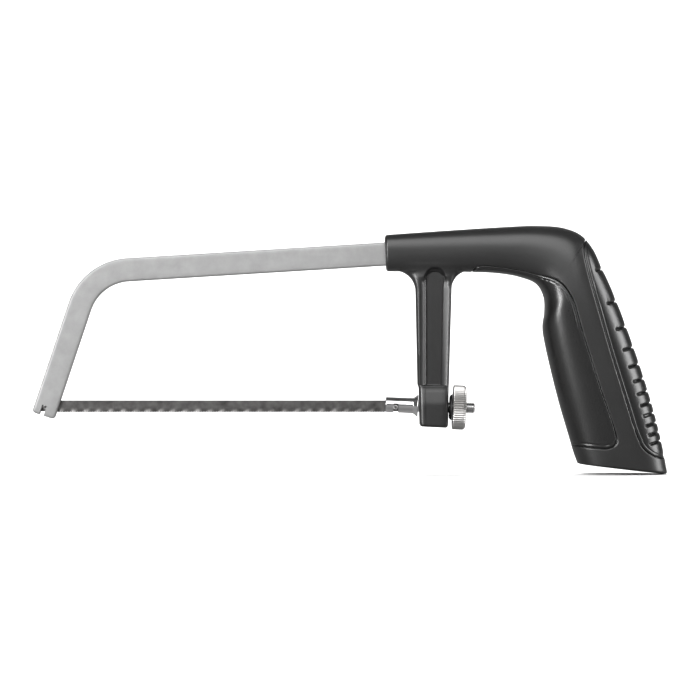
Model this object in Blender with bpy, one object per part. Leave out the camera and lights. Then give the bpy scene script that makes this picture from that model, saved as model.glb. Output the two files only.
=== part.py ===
"""A small hacksaw for 150 mm pin blades: a bent bar bow, a moulded handle and a screw that tensions the blade.

Metres, +Z up. The blade runs along X with its teeth down, the grip is at +X, and the saw is alike on both
sides of the XZ plane. The origin is the centre of the saw's box.
"""

import math
from collections import namedtuple

import bmesh
import bpy
import numpy as np
from mathutils import Matrix, Vector

MM = 0.001
GAP = 0.3 * MM  # between pieces that touch or lie in each other
PASS = 4.0 * MM  # how far a cutter runs past what it cuts

# The blade: standard pin blade, 24 teeth to the inch
BLADE_REACH = 150.0 * MM  # from pin to pin
BLADE_TOP = -21.7 * MM
BLADE_TIPS = -26.9 * MM
BLADE_THICKNESS = 0.65 * MM
BLADE_END = 2.8 * MM  # strip beyond each pin
TOOTH_PITCH = 25.4 * MM / 24
TOOTH_DEPTH = 0.7 * MM
TOOTH_COUNT = 134
TOOTH_RAKE = 0.2  # where a tooth's gullet lies along its pitch
FIRST_TOOTH = 3.6 * MM  # from the front pin
PIN_RADIUS = 0.7 * MM
PIN_LENGTH = 4.4 * MM
PIN_HOLE_GAP = 0.1 * MM
REAR_PIN = Vector((19.4 * MM, 0.0, -24.6 * MM))
FRONT_PIN = REAR_PIN - Vector((BLADE_REACH, 0.0, 0.0))
SLIT = 1.2 * MM  # saw cut that takes the blade, in the bow and in the holder
NOTCH = 2.0 * MM  # cross notch that takes a pin

# The bow: flat bar, bent once
BAR_WIDTH = 10.0 * MM
BAR_THICKNESS = 5.0 * MM
BAR_EDGE = 0.9 * MM
RUN_SLOPE = math.radians(3.5)
LEG_LEAN = math.radians(18.5)  # of the leg, off the vertical
BEND_RADIUS = 23.0 * MM
BEND_STEPS = 10
CORNER = Vector((-110.6 * MM, 0.0, 33.15 * MM))  # where the centre lines of run and leg would meet
LEG_LENGTH = 64.7 * MM  # from that corner to the bar's free end
TANG_START = 13.9 * MM  # X where the bare bar ends, just short of the handle
TANG_STEP = 0.1 * MM  # how much thinner the tang is than the bare bar, on either side
TANG_EASE = 0.3 * MM  # the length over which it thins
TANG_END = 58.0 * MM  # X of the end inside the handle
FREE_CORNER = 1.0 * MM
BOW_SLIT_DEPTH = 11.5 * MM
BOW_NOTCH_DEPTH = 4.4 * MM

# The tension rod and what runs on it. Lengths run along the rod from ROD_PLACE, and the rod dips towards +X.
ROD_PLACE = Vector((35.5 * MM, 0.0, -24.3 * MM))
ROD_DIP = math.radians(2.3)
HOLDER_START = -20.4 * MM
HOLDER_RADIUS = 3.3 * MM
HOLDER_END = -8.6 * MM
FLARE_RADIUS = 4.7 * MM
FLARE_END = -6.9 * MM
FLANGE_END = -6.6 * MM
HOLDER_SLIT_END = -10.6 * MM
HOLDER_NOTCH = -15.95 * MM
HOLDER_NOTCH_TOP = 0.75 * MM
SHANK_SIDE = 5.0 * MM
SHANK_END = 5.7 * MM
STUD_RADIUS = 2.4 * MM
STUD_END = 17.75 * MM
STUD_CHAMFER = 0.5 * MM
WASHER = (6.8 * MM, 7.9 * MM)
WASHER_RADII = (4.8 * MM, 5.7 * MM)
NUT = (8.2 * MM, 13.9 * MM)
NUT_RADIUS = 9.5 * MM
NUT_CHAMFER = 0.9 * MM
NUT_RIDGES = 46
RIDGE_DEPTH = 0.35 * MM
BORE_RADIUS = 2.75 * MM

# The handle: sections from the sleeve round to the butt, each from its outer edge (top or back) to its
# inner edge (underside or front), with half its thickness and how square it is (2 is an ellipse)
Section = namedtuple("Section", "outer_x outer_z inner_x inner_z half_thickness squareness")
HANDLE_SECTIONS = (
    Section(14.7, 49.0, 15.3, 33.4, 6.8, 3.6),
    Section(30.0, 50.1, 30.0, 33.3, 7.2, 3.4),
    Section(48.0, 51.3, 48.0, 33.2, 8.0, 3.1),
    Section(64.0, 52.3, 63.0, 32.6, 8.8, 2.8),
    Section(79.0, 52.9, 73.0, 30.8, 9.8, 2.6),
    Section(90.5, 52.1, 79.7, 27.8, 10.9, 2.5),
    Section(98.3, 49.1, 82.6, 22.4, 11.8, 2.4),
    Section(103.4, 43.4, 82.9, 16.0, 12.4, 2.3),
    Section(107.4, 35.2, 82.1, 10.0, 12.8, 2.3),
    Section(112.0, 25.0, 82.9, 3.6, 13.0, 2.3),
    Section(117.1, 12.0, 85.6, -8.6, 13.0, 2.3),
    Section(123.9, -7.4, 89.3, -23.2, 13.0, 2.3),
    Section(128.8, -23.3, 92.6, -34.4, 12.8, 2.4),
    Section(132.7, -38.6, 95.4, -43.8, 12.6, 2.5),
    Section(135.5, -53.1, 97.2, -48.7, 12.4, 2.6),
)
HANDLE_RINGS = 38
HANDLE_COLUMNS = 28
SLEEVE_EDGE = 0.9 * MM
BUTT_EDGE = 1.2 * MM
INSERT_DEPTH = 2.6 * MM

# Where the inserts end on the grip's sides, in millimetres along X and Z. Each line starts and ends off the grip.
PALM_LINE = (
    (101.6, 48.6), (99.6, 45.6), (99.3, 41.0), (101.7, 29.4), (105.9, 14.2), (110.3, -1.2), (117.4, -24.2),
    (121.4, -36.4), (124.4, -42.2), (129.6, -45.6), (138.0, -46.8),
)
PALM_OUTSIDE = ((150.0, -46.8), (150.0, 60.0), (105.0, 60.0))
FINGER_LINE = (
    (50.0, 31.0), (54.0, 35.0), (66.0, 34.6), (79.3, 31.8), (88.4, 29.0), (93.9, 22.3), (98.4, 7.8),
    (105.2, -13.6), (112.3, -35.0), (112.9, -39.6), (109.8, -41.9), (102.1, -41.8), (90.0, -40.2),
)
FINGER_OUTSIDE = ((72.0, -38.0), (58.0, 0.0), (50.0, 24.0))
LINE_STEPS = 3

# The post under the beam, and the boss at its foot
POST_HALF_THICKNESS = 6.0 * MM
POST_FILLETS = (8.6 * MM, 7.6 * MM)
POST_FILLET_TOP = 33.6 * MM
POST_LEFT = (27.7 * MM, 28.7 * MM)  # at the top and at the foot
POST_RIGHT = (43.5 * MM, 42.1 * MM)
POST_ROOT = 40.0 * MM  # its height inside the beam
BOSS_TOP = -15.5 * MM
BOSS_HALF_THICKNESS = 7.0 * MM
BOSS_LEFT = (29.2 * MM, 29.6 * MM)
BOSS_RIGHT = (42.05 * MM, 41.7 * MM)
BOSS_FOOT = (-32.8 * MM, -33.3 * MM)
BOSS_CORNER = 0.9 * MM
PANEL_DEPTH = 2.0 * MM
PANEL_TOP = (36.0 * MM, 33.0 * MM, 3.0 * MM)  # middle, height and half width of the recess at its top
PANEL_FOOT = (35.3 * MM, -14.8 * MM, 2.5 * MM)
ARC_STEPS = 5


def clear_scene():
    """Empties the scene that the script starts in."""
    for thing in list(bpy.data.objects):
        bpy.data.objects.remove(thing, do_unlink=True)


def make_material(name, colour, roughness, metallic):
    """A plain finish."""
    material = bpy.data.materials.new(name)
    material.use_nodes = True
    shader = material.node_tree.nodes["Principled BSDF"]
    shader.inputs["Base Color"].default_value = (*colour, 1.0)
    shader.inputs["Roughness"].default_value = roughness
    shader.inputs["Metallic"].default_value = metallic
    return material


def add_object(name, shape, material=None):
    """Puts a bmesh in the scene with its faces turned out. Without a material it is a cutter."""
    bmesh.ops.recalc_face_normals(shape, faces=shape.faces)
    mesh = bpy.data.meshes.new(name)
    shape.to_mesh(mesh)
    shape.free()
    thing = bpy.data.objects.new(name, mesh)
    bpy.context.scene.collection.objects.link(thing)
    if material:
        mesh.materials.append(material)
    else:
        thing.hide_render = True
        thing.display_type = "WIRE"
    return thing


def combine(target, other, operation):
    """Adds, cuts or keeps with another solid, which becomes a guide that isn't part of the saw."""
    modifier = target.modifiers.new(f"{operation.lower()} {other.name}", "BOOLEAN")
    modifier.operation = operation
    modifier.solver = "EXACT"
    modifier.object = other
    other.hide_render = True
    other.display_type = "WIRE"


def smooth_line(rows, steps):
    """Points on a centripetal Catmull-Rom curve through rows of numbers, `steps` to each span."""
    rows = np.asarray(rows, dtype=float)
    rows = np.vstack((2 * rows[0] - rows[1], rows, 2 * rows[-1] - rows[-2]))
    knots = np.concatenate(([0.0], np.cumsum(np.linalg.norm(np.diff(rows, axis=0), axis=1) ** 0.5)))
    points = []
    for k in range(1, len(rows) - 2):
        t0, t1, t2, t3 = knots[k - 1 : k + 3]
        for t in np.linspace(t1, t2, steps, endpoint=False):
            a1 = (t1 - t) / (t1 - t0) * rows[k - 1] + (t - t0) / (t1 - t0) * rows[k]
            a2 = (t2 - t) / (t2 - t1) * rows[k] + (t - t1) / (t2 - t1) * rows[k + 1]
            a3 = (t3 - t) / (t3 - t2) * rows[k + 1] + (t - t2) / (t3 - t2) * rows[k + 2]
            b1 = (t2 - t) / (t2 - t0) * a1 + (t - t0) / (t2 - t0) * a2
            b2 = (t3 - t) / (t3 - t1) * a2 + (t - t1) / (t3 - t1) * a3
            points.append((t2 - t) / (t2 - t1) * b1 + (t - t1) / (t2 - t1) * b2)
    points.append(rows[-2])
    return np.array(points)


def arc(centre, radius, start, end, steps=ARC_STEPS):
    """Points (x, z) on an arc between two angles in degrees, from +X towards +Z."""
    angles = np.radians(np.linspace(start, end, steps + 1))
    return [(centre[0] + radius * math.cos(a), centre[1] + radius * math.sin(a)) for a in angles]


def prism(name, outline, low, high, material=None):
    """A solid with an outline of (x, z) points, from one Y to another."""
    shape = bmesh.new()
    base = [shape.verts.new((x, low, z)) for x, z in outline]
    face = shape.faces.new(base)
    extruded = bmesh.ops.extrude_face_region(shape, geom=[face])
    moved = [v for v in extruded["geom"] if isinstance(v, bmesh.types.BMVert)]
    bmesh.ops.translate(shape, verts=moved, vec=(0.0, high - low, 0.0))
    return add_object(name, shape, material)


def block(name, centre, size, tilt=0.0, material=None):
    """A box turned about Y."""
    shape = bmesh.new()
    place = Matrix.Translation(centre) @ Matrix.Rotation(tilt, 4, "Y") @ Matrix.Diagonal((*size, 1.0))
    bmesh.ops.create_cube(shape, size=1.0, matrix=place)
    return add_object(name, shape, material)


def turned(name, profile, columns, material=None, radius_of=None):
    """A solid turned about X from (length, radius) points. A profile that starts and ends off the axis closes on
    itself, as a ring. radius_of(radius, column) may change the radius round the piece."""
    shape = bmesh.new()
    closed_ring = profile[0][1] > 0.0
    rings = []
    for length, radius in profile:
        if radius == 0.0:
            rings.append([shape.verts.new((length, 0.0, 0.0))])
            continue
        ring = []
        for k in range(columns):
            angle = 2 * math.pi * k / columns
            r = radius_of(radius, k) if radius_of else radius
            ring.append(shape.verts.new((length, r * math.cos(angle), r * math.sin(angle))))
        rings.append(ring)
    pairs = list(zip(rings, rings[1:]))
    if closed_ring:
        pairs.append((rings[-1], rings[0]))
    for first, second in pairs:
        for k in range(columns):
            n = (k + 1) % columns
            if len(first) == 1:
                shape.faces.new((first[0], second[k], second[n]))
            elif len(second) == 1:
                shape.faces.new((first[k], second[0], first[n]))
            else:
                shape.faces.new((first[k], second[k], second[n], first[n]))
    return add_object(name, shape, material)


def bar_sections(width, thickness, start, stations, edge):
    """Rings of the bar's chamfered section from `start` on the leg, measured from the corner, along the back. Each
    of the stations there is an X and how much thinner the bar is, on either side."""
    run = Vector((math.cos(RUN_SLOPE), 0.0, math.sin(RUN_SLOPE)))
    leg = Vector((-math.sin(LEG_LEAN), 0.0, -math.cos(LEG_LEAN)))
    turn = math.acos(run.dot(leg) * -1.0)
    tangent = BEND_RADIUS * math.tan(turn / 2)
    bisector = (run + leg).normalized()
    centre = CORNER + bisector * math.hypot(BEND_RADIUS, tangent)
    from_leg = (CORNER + leg * tangent - centre).normalized()
    places = [(CORNER + leg * start, from_leg, 0.0)]
    for k in range(BEND_STEPS + 1):
        outward = Matrix.Rotation(turn * k / BEND_STEPS, 3, "Y") @ from_leg
        places.append((centre + outward * BEND_RADIUS, outward, 0.0))
    outward = places[-1][1]
    places += [(CORNER + run * ((x - CORNER.x) / run.x), outward, thinner) for x, thinner in stations]
    rings = []
    for place, outward, thinner in places:
        half_width, half_thickness = width / 2, thickness / 2 - thinner
        corner = [(half_width - edge, half_thickness), (half_width, half_thickness - edge)]
        section = []
        for side_w, side_t, order in ((1, 1, 1), (1, -1, -1), (-1, -1, 1), (-1, 1, -1)):
            section += [(side_w * w, side_t * t) for w, t in corner[::order]]
        rings.append([place + outward * w + Vector((0.0, t, 0.0)) for w, t in section])
    return rings


def skin(name, rings, material=None):
    """A solid through rings of points, closed by a face at each end."""
    shape = bmesh.new()
    rows = [[shape.verts.new(point) for point in ring] for ring in rings]
    count = len(rows[0])
    for first, second in zip(rows, rows[1:]):
        for k in range(count):
            n = (k + 1) % count
            shape.faces.new((first[k], second[k], second[n], first[n]))
    shape.faces.new(rows[0])
    shape.faces.new(rows[-1])
    return add_object(name, shape, material)


def make_bow(paint):
    """The bent bar, with the blade's slit and the pin's notch in its free end."""
    stations = [(TANG_START, 0.0), (TANG_START + TANG_EASE, TANG_STEP), (TANG_END, TANG_STEP)]
    bow = skin("frame_bow", bar_sections(BAR_WIDTH, BAR_THICKNESS, LEG_LENGTH, stations, BAR_EDGE), paint)
    leg = Vector((-math.sin(LEG_LEAN), 0.0, -math.cos(LEG_LEAN)))
    across = Vector((math.cos(LEG_LEAN), 0.0, -math.sin(LEG_LEAN)))
    free_end = CORNER + leg * LEG_LENGTH
    slit_size = (BAR_WIDTH + 2 * PASS, SLIT, BOW_SLIT_DEPTH + PASS)
    slit_middle = free_end - leg * (BOW_SLIT_DEPTH - PASS) / 2
    combine(bow, block("bow_slit", slit_middle, slit_size, LEG_LEAN), "DIFFERENCE")
    # the pin is pulled towards +X, so the notch lies a little to the other side of it
    notch_line = (FRONT_PIN - free_end).dot(across) - (NOTCH / 2 - PIN_RADIUS - 0.2 * MM)
    notch_middle = free_end + across * notch_line - leg * (BOW_NOTCH_DEPTH - PASS) / 2
    notch_size = (NOTCH, BAR_THICKNESS + 2 * PASS, BOW_NOTCH_DEPTH + PASS)
    combine(bow, block("bow_notch", notch_middle, notch_size, LEG_LEAN), "DIFFERENCE")
    for side in (-1, 1):
        corner = free_end + across * side * BAR_WIDTH / 2
        size = (2 * FREE_CORNER, BAR_THICKNESS + 2 * PASS, 2 * FREE_CORNER)
        name = f"bow_corner_{'left' if side < 0 else 'right'}"
        outside = corner + (across * side + leg) * FREE_CORNER * (math.sqrt(2) - 1) / 2
        combine(bow, block(name, outside, size, LEG_LEAN + math.radians(45)), "DIFFERENCE")
    return bow


def make_blade(steel):
    """The toothed strip, with a hole for each pin. A tooth leans towards the bow's free end."""
    front, rear = FRONT_PIN.x - BLADE_END, REAR_PIN.x + BLADE_END
    root = BLADE_TIPS + TOOTH_DEPTH
    end_cut = 0.8 * MM
    outline = [(front, root + end_cut), (front + end_cut, root)]
    first = FRONT_PIN.x + FIRST_TOOTH
    for k in range(TOOTH_COUNT):
        start = first + k * TOOTH_PITCH
        outline.append((start, root))
        outline.append((start + TOOTH_RAKE * TOOTH_PITCH, BLADE_TIPS))
    outline += [(first + TOOTH_COUNT * TOOTH_PITCH, root), (rear - end_cut, root), (rear, root + end_cut)]
    outline += [(rear, BLADE_TOP - end_cut), (rear - end_cut, BLADE_TOP)]
    outline += [(front + end_cut, BLADE_TOP), (front, BLADE_TOP - end_cut)]
    blade = prism("saw_blade", outline, -BLADE_THICKNESS / 2, BLADE_THICKNESS / 2, steel)
    for name, pin in (("front_hole", FRONT_PIN), ("rear_hole", REAR_PIN)):
        hole = make_pin(name, pin, PIN_RADIUS + PIN_HOLE_GAP, BLADE_THICKNESS + 2 * PASS)
        combine(blade, hole, "DIFFERENCE")
    return blade


def make_pin(name, place, radius, length, material=None):
    """A cross pin, or the cutter of its hole."""
    profile = [(-length / 2, 0.0), (-length / 2, radius), (length / 2, radius), (length / 2, 0.0)]
    pin = turned(name, profile, 16, material)
    pin.location = place
    pin.rotation_euler = (0.0, 0.0, math.radians(90))
    return pin


def on_rod(thing):
    """Stands a piece that was made about X on the rod's dipping axis."""
    thing.location = ROD_PLACE
    thing.rotation_euler = (0.0, ROD_DIP, 0.0)
    return thing


def make_rod(chrome):
    """The blade holder, its square shank and its stud, as one turned piece."""
    tip = 0.6 * MM
    overlap = 1.0 * MM
    holder = [
        (HOLDER_START, 0.0), (HOLDER_START, HOLDER_RADIUS - tip), (HOLDER_START + tip, HOLDER_RADIUS),
        (HOLDER_END, HOLDER_RADIUS), (FLARE_END, FLARE_RADIUS), (FLANGE_END, FLARE_RADIUS), (FLANGE_END, 0.0),
    ]
    rod = on_rod(turned("tension_rod", holder, 24, chrome))
    shank_length = SHANK_END - FLANGE_END + overlap
    shank = block("rod_shank", ((SHANK_END + FLANGE_END - overlap) / 2, 0.0, 0.0), (shank_length, SHANK_SIDE, SHANK_SIDE))
    combine(rod, on_rod(shank), "UNION")
    stud = [
        (SHANK_END - overlap, 0.0), (SHANK_END - overlap, STUD_RADIUS), (STUD_END - STUD_CHAMFER, STUD_RADIUS),
        (STUD_END, STUD_RADIUS - STUD_CHAMFER), (STUD_END, 0.0),
    ]
    combine(rod, on_rod(turned("rod_stud", stud, 24)), "UNION")
    slit_start = HOLDER_START - PASS
    slit_middle = ((slit_start + HOLDER_SLIT_END) / 2, 0.0, 0.0)
    slit_size = (HOLDER_SLIT_END - slit_start, SLIT, 2 * HOLDER_RADIUS + PASS)
    combine(rod, on_rod(block("holder_slit", slit_middle, slit_size)), "DIFFERENCE")
    notch_foot = -HOLDER_RADIUS - PASS
    notch_middle = (HOLDER_NOTCH, 0.0, (HOLDER_NOTCH_TOP + notch_foot) / 2)
    notch_size = (NOTCH, 2 * HOLDER_RADIUS + PASS, HOLDER_NOTCH_TOP - notch_foot)
    combine(rod, on_rod(block("holder_notch", notch_middle, notch_size)), "DIFFERENCE")
    return rod


def make_washer(plastic):
    """The tapered ring between the boss and the nut."""
    (left, right), (small, large) = WASHER, WASHER_RADII
    profile = [(left, BORE_RADIUS), (left, small), (right, large), (right, BORE_RADIUS)]
    return on_rod(turned("thrust_washer", profile, 32, plastic))


def make_nut(chrome):
    """The round nut, with straight ridges round its rim and a chamfer on its outer face."""
    left, right = NUT
    edge = 0.3 * MM
    profile = [
        (left, BORE_RADIUS), (left, NUT_RADIUS - edge), (left + edge, NUT_RADIUS),
        (right - NUT_CHAMFER, NUT_RADIUS), (right, NUT_RADIUS - NUT_CHAMFER), (right, BORE_RADIUS),
    ]
    rim = NUT_RADIUS - NUT_CHAMFER / 2

    def ridged(radius, column):
        return radius - RIDGE_DEPTH * (column % 2) if radius > rim else radius

    return on_rod(turned("thumb_nut", profile, 2 * NUT_RIDGES, chrome, ridged))


def handle_rings(inset):
    """Rings of the sleeve, beam and grip, each drawn in by `inset`, with the edges of both ends eased."""
    rows = smooth_line(HANDLE_SECTIONS, 8)
    lengths = np.concatenate(([0.0], np.cumsum(np.linalg.norm(np.diff(rows[:, :4], axis=0), axis=1))))
    stops = np.linspace(inset / MM * 1.4, lengths[-1] - inset / MM * 1.4, HANDLE_RINGS)
    sections = [Section(*(np.interp(stop, lengths, rows[:, k]) for k in range(6))) for stop in stops]
    rings = [ring(sections[0], inset + SLEEVE_EDGE)]
    for k, section in enumerate(sections):
        rings.append(ring(section, inset))
    rings[1] = ring(blended(sections[0], sections[1], SLEEVE_EDGE), inset)
    rings[-1] = ring(blended(sections[-1], sections[-2], BUTT_EDGE), inset)
    rings.append(ring(sections[-1], inset + BUTT_EDGE))
    return rings


def blended(section, towards, distance):
    """The section a distance along from one to the next."""
    step = np.linalg.norm(np.subtract(section[:2], towards[:2])) * MM
    share = distance / step
    return Section(*(a + (b - a) * share for a, b in zip(section, towards)))


def ring(section, inset):
    """One closed ring of the handle, a superellipse from the outer edge round to the inner edge and back."""
    outer = Vector((section.outer_x, 0.0, section.outer_z)) * MM
    inner = Vector((section.inner_x, 0.0, section.inner_z)) * MM
    middle = (outer + inner) / 2
    half = (outer - inner) / 2
    half *= 1 - inset / half.length
    thickness = section.half_thickness * MM - inset
    power = 2 / section.squareness
    points = []
    for k in range(HANDLE_COLUMNS):
        angle = 2 * math.pi * k / HANDLE_COLUMNS
        along = math.copysign(abs(math.cos(angle)) ** power, math.cos(angle))
        aside = math.copysign(abs(math.sin(angle)) ** power, math.sin(angle))
        points.append(middle + half * along + Vector((0.0, thickness * aside, 0.0)))
    return points


def shifted(line, distance):
    """A line of (x, z) points moved aside by a distance, to the left of its direction."""
    line = np.asarray(line)
    direction = np.gradient(line, axis=0)
    direction /= np.linalg.norm(direction, axis=1)[:, None]
    return line + np.column_stack((-direction[:, 1], direction[:, 0])) * distance


def insert_zone(name, line, outside, growth):
    """A prism right through the grip, over what an insert covers. Growth moves its line outwards."""
    points = shifted(smooth_line(line, LINE_STEPS), growth / MM) * MM
    outline = [tuple(p) for p in points] + [(x * MM, z * MM) for x, z in outside]
    return prism(name, outline, -20.0 * MM, 20.0 * MM)


def make_insert(name, line, outside, side, rubber):
    """A pad let into the grip: the handle's own skin over its zone, down to its bed. `side` is +1 where the
    insert lies to the right of its line."""
    insert = skin(name, handle_rings(0.0), rubber)
    combine(insert, insert_zone(f"{name}_zone", line, outside, 0.0), "INTERSECT")
    combine(insert, skin(f"{name}_bed", handle_rings(INSERT_DEPTH)), "DIFFERENCE")
    pocket = insert_zone(f"{name}_pocket", line, outside, side * GAP)
    combine(pocket, skin(f"{name}_floor", handle_rings(INSERT_DEPTH + GAP)), "DIFFERENCE")
    return insert, pocket


def post_outline():
    """The post from the side, with the fillets that carry it into the beam."""
    (left_top, left_foot), (right_top, right_foot) = POST_LEFT, POST_RIGHT
    left_fillet, right_fillet = POST_FILLETS
    left = arc((left_top - left_fillet, POST_FILLET_TOP - left_fillet), left_fillet, 90, 0)
    right = arc((right_top + right_fillet, POST_FILLET_TOP - right_fillet), right_fillet, 180, 90)
    foot = BOSS_TOP - BOSS_CORNER
    root = [(right[-1][0] - 2.0 * MM, POST_ROOT), (left[0][0] + 2.0 * MM, POST_ROOT)]
    return left + [(left_foot, foot), (right_foot, foot)] + right + root


def boss_outline():
    """The boss from the side, its lower corners rounded."""
    (left_top, left_foot), (right_top, right_foot) = BOSS_LEFT, BOSS_RIGHT
    r = BOSS_CORNER
    left = arc((left_foot + r, BOSS_FOOT[0] + r), r, 180, 270, 3)
    right = arc((right_foot - r, BOSS_FOOT[1] + r), r, 270, 360, 3)
    return [(left_top, BOSS_TOP)] + left + right + [(right_top, BOSS_TOP)]


def panel_outline():
    """The recess in the post's side: square at its foot, arched at its top."""
    x, z, half = PANEL_TOP
    foot_x, foot_z, foot_half = PANEL_FOOT
    return [(foot_x - foot_half, foot_z), (foot_x + foot_half, foot_z)] + arc((x, z - half), half, 0, 180)


def make_handle(plastic, rubber):
    """The handle's moulding with its two inserts."""
    body = skin("handle_body", handle_rings(0.0), plastic)
    palm, palm_pocket = make_insert("palm_insert", PALM_LINE, PALM_OUTSIDE, -1, rubber)
    finger, finger_pocket = make_insert("finger_insert", FINGER_LINE, FINGER_OUTSIDE, 1, rubber)
    combine(body, palm_pocket, "DIFFERENCE")
    combine(body, finger_pocket, "DIFFERENCE")
    post = prism("handle_post", post_outline(), -POST_HALF_THICKNESS, POST_HALF_THICKNESS)
    boss = prism("handle_boss", boss_outline(), -BOSS_HALF_THICKNESS, BOSS_HALF_THICKNESS)
    combine(body, post, "UNION")
    combine(body, boss, "UNION")
    floor = POST_HALF_THICKNESS - PANEL_DEPTH
    for side in (-1, 1):
        name = f"post_recess_{'front' if side < 0 else 'back'}"
        low, high = sorted((side * floor, side * (POST_HALF_THICKNESS + 3 * PASS)))
        combine(body, prism(name, panel_outline(), low, high), "DIFFERENCE")
    stations = [(TANG_END + GAP, 0.0)]
    sleeve = bar_sections(BAR_WIDTH + 2 * GAP, BAR_THICKNESS + 2 * GAP, LEG_LENGTH, stations, BAR_EDGE)
    combine(body, skin("tang_pocket", sleeve), "DIFFERENCE")
    side = SHANK_SIDE + 2 * GAP
    length = BOSS_RIGHT[0] - BOSS_LEFT[0] + 2 * PASS
    combine(body, on_rod(block("rod_passage", (0.0, 0.0, 0.0), (length, side, side))), "DIFFERENCE")
    return body, palm, finger


def main():
    """Builds the saw."""
    clear_scene()
    paint = make_material("silver_paint", (0.43, 0.43, 0.43), 0.45, 0.3)
    plastic = make_material("black_plastic", (0.035, 0.035, 0.037), 0.4, 0.0)
    rubber = make_material("black_rubber", (0.03, 0.03, 0.031), 0.5, 0.0)
    steel = make_material("dark_steel", (0.16, 0.16, 0.15), 0.4, 0.9)
    chrome = make_material("bright_chrome", (0.7, 0.7, 0.7), 0.15, 1.0)
    make_bow(paint)
    make_handle(plastic, rubber)
    make_blade(steel)
    make_pin("blade_pin_front", FRONT_PIN, PIN_RADIUS, PIN_LENGTH, steel)
    make_pin("blade_pin_rear", REAR_PIN, PIN_RADIUS, PIN_LENGTH, steel)
    make_rod(chrome)
    make_washer(plastic)
    make_nut(chrome)


main()
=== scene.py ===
"""A small hacksaw with a bent bar bow, a moulded pistol grip and a blade tensioned by a knurled nut."""

import logging
import math
from dataclasses import dataclass, field
from enum import Enum

import bmesh
import bpy
import numpy as np
from mathutils import Matrix, Vector
from mathutils.kdtree import KDTree


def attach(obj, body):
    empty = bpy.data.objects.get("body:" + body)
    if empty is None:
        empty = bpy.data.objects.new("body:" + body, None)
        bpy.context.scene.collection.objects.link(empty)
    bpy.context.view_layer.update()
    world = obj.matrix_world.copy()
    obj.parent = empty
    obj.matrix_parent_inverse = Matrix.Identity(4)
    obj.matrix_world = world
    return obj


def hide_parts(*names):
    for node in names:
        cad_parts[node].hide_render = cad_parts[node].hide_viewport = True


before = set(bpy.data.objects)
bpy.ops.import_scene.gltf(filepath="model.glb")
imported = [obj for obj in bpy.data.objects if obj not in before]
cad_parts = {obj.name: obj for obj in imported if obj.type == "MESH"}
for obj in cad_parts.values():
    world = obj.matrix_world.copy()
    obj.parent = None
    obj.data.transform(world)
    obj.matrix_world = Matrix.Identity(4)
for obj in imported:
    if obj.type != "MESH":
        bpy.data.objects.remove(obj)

log = logging.getLogger("hacksaw")

MM = 0.001
TURN = 2 * math.pi
# A turned profile that starts or ends nearer the axis than this is closed by flat ends.
ON_AXIS = 0.3
# How far a cutting block runs past what it cuts.
PASSING = 1.0


class Cut(Enum):
    """What a second solid does to a first one."""

    ADD = "UNION"
    TAKE = "DIFFERENCE"


class Body(Enum):
    """The bodies that a piece can ride on."""

    FIXED = "root"
    ROD = "tension_rod"
    NUT = "thumb_nut"
    BLADE = "blade"


# ---------------------------------------------------------------- curves and meshes, all in millimetres


def smooth_line(rows: list, steps: int) -> np.ndarray:
    """Points on a centripetal Catmull-Rom curve.

    Args:
        rows: The curve's own points, as rows of numbers.
        steps: How many points each span gets.

    Returns:
        One row for each point.
    """
    rows = np.asarray(rows, dtype=float)
    rows = np.vstack((2 * rows[0] - rows[1], rows, 2 * rows[-1] - rows[-2]))
    knots = np.concatenate(([0.0], np.cumsum(np.linalg.norm(np.diff(rows, axis=0), axis=1) ** 0.5)))
    points = []
    for k in range(1, len(rows) - 2):
        t0, t1, t2, t3 = knots[k - 1 : k + 3]
        for t in np.linspace(t1, t2, steps, endpoint=False):
            a1 = (t1 - t) / (t1 - t0) * rows[k - 1] + (t - t0) / (t1 - t0) * rows[k]
            a2 = (t2 - t) / (t2 - t1) * rows[k] + (t - t1) / (t2 - t1) * rows[k + 1]
            a3 = (t3 - t) / (t3 - t2) * rows[k + 1] + (t - t2) / (t3 - t2) * rows[k + 2]
            b1 = (t2 - t) / (t2 - t0) * a1 + (t - t0) / (t2 - t0) * a2
            b2 = (t3 - t) / (t3 - t1) * a2 + (t - t1) / (t3 - t1) * a3
            points.append((t2 - t) / (t2 - t1) * b1 + (t - t1) / (t2 - t1) * b2)
    points.append(rows[-2])
    return np.array(points)


def smooth_step(value: np.ndarray, low: float, high: float) -> np.ndarray:
    """Runs softly from 0 where the value is low to 1 where it is high."""
    share = np.clip((np.asarray(value, dtype=float) - low) / (high - low), 0.0, 1.0)
    return share * share * (3 - 2 * share)


def raised(wave: np.ndarray, power: np.ndarray) -> np.ndarray:
    """Values from -1 to 1 raised to a power, each with its sign kept."""
    return np.sign(wave) * np.abs(wave) ** power


def spread(low: float, high: float, count: int, tight_low: float, tight_high: float) -> np.ndarray:
    """Values from low to high that crowd towards the ends.

    Args:
        low: The first value.
        high: The last value.
        count: How many steps there are.
        tight_low: How strongly the values crowd at the low end, from 0 to under 1.
        tight_high: The same for the high end.

    Returns:
        count + 1 values.
    """
    share = (np.arange(count) + 0.5) / count
    step = 1 - tight_low * (1 - share) ** 2 - tight_high * share**2
    total = np.concatenate(([0.0], np.cumsum(step)))
    return low + (high - low) * total / total[-1]


def new_object(name: str, points: np.ndarray, faces: list, sharp: float = 40.0) -> bpy.types.Object:
    """A smooth-shaded object from points and faces.

    Args:
        name: The object's name.
        points: Rows of X, Y and Z in millimetres.
        faces: Lists of point numbers.
        sharp: The angle in degrees past which an edge is shaded sharp.

    Returns:
        The object, linked to the scene, with its faces pointing out.
    """
    mesh = bpy.data.meshes.new(name)
    mesh.from_pydata((np.asarray(points, dtype=float) * MM).tolist(), [], faces)
    thing = bpy.data.objects.new(name, mesh)
    bpy.context.scene.collection.objects.link(thing)
    tidy(thing, sharp)
    return thing


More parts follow.
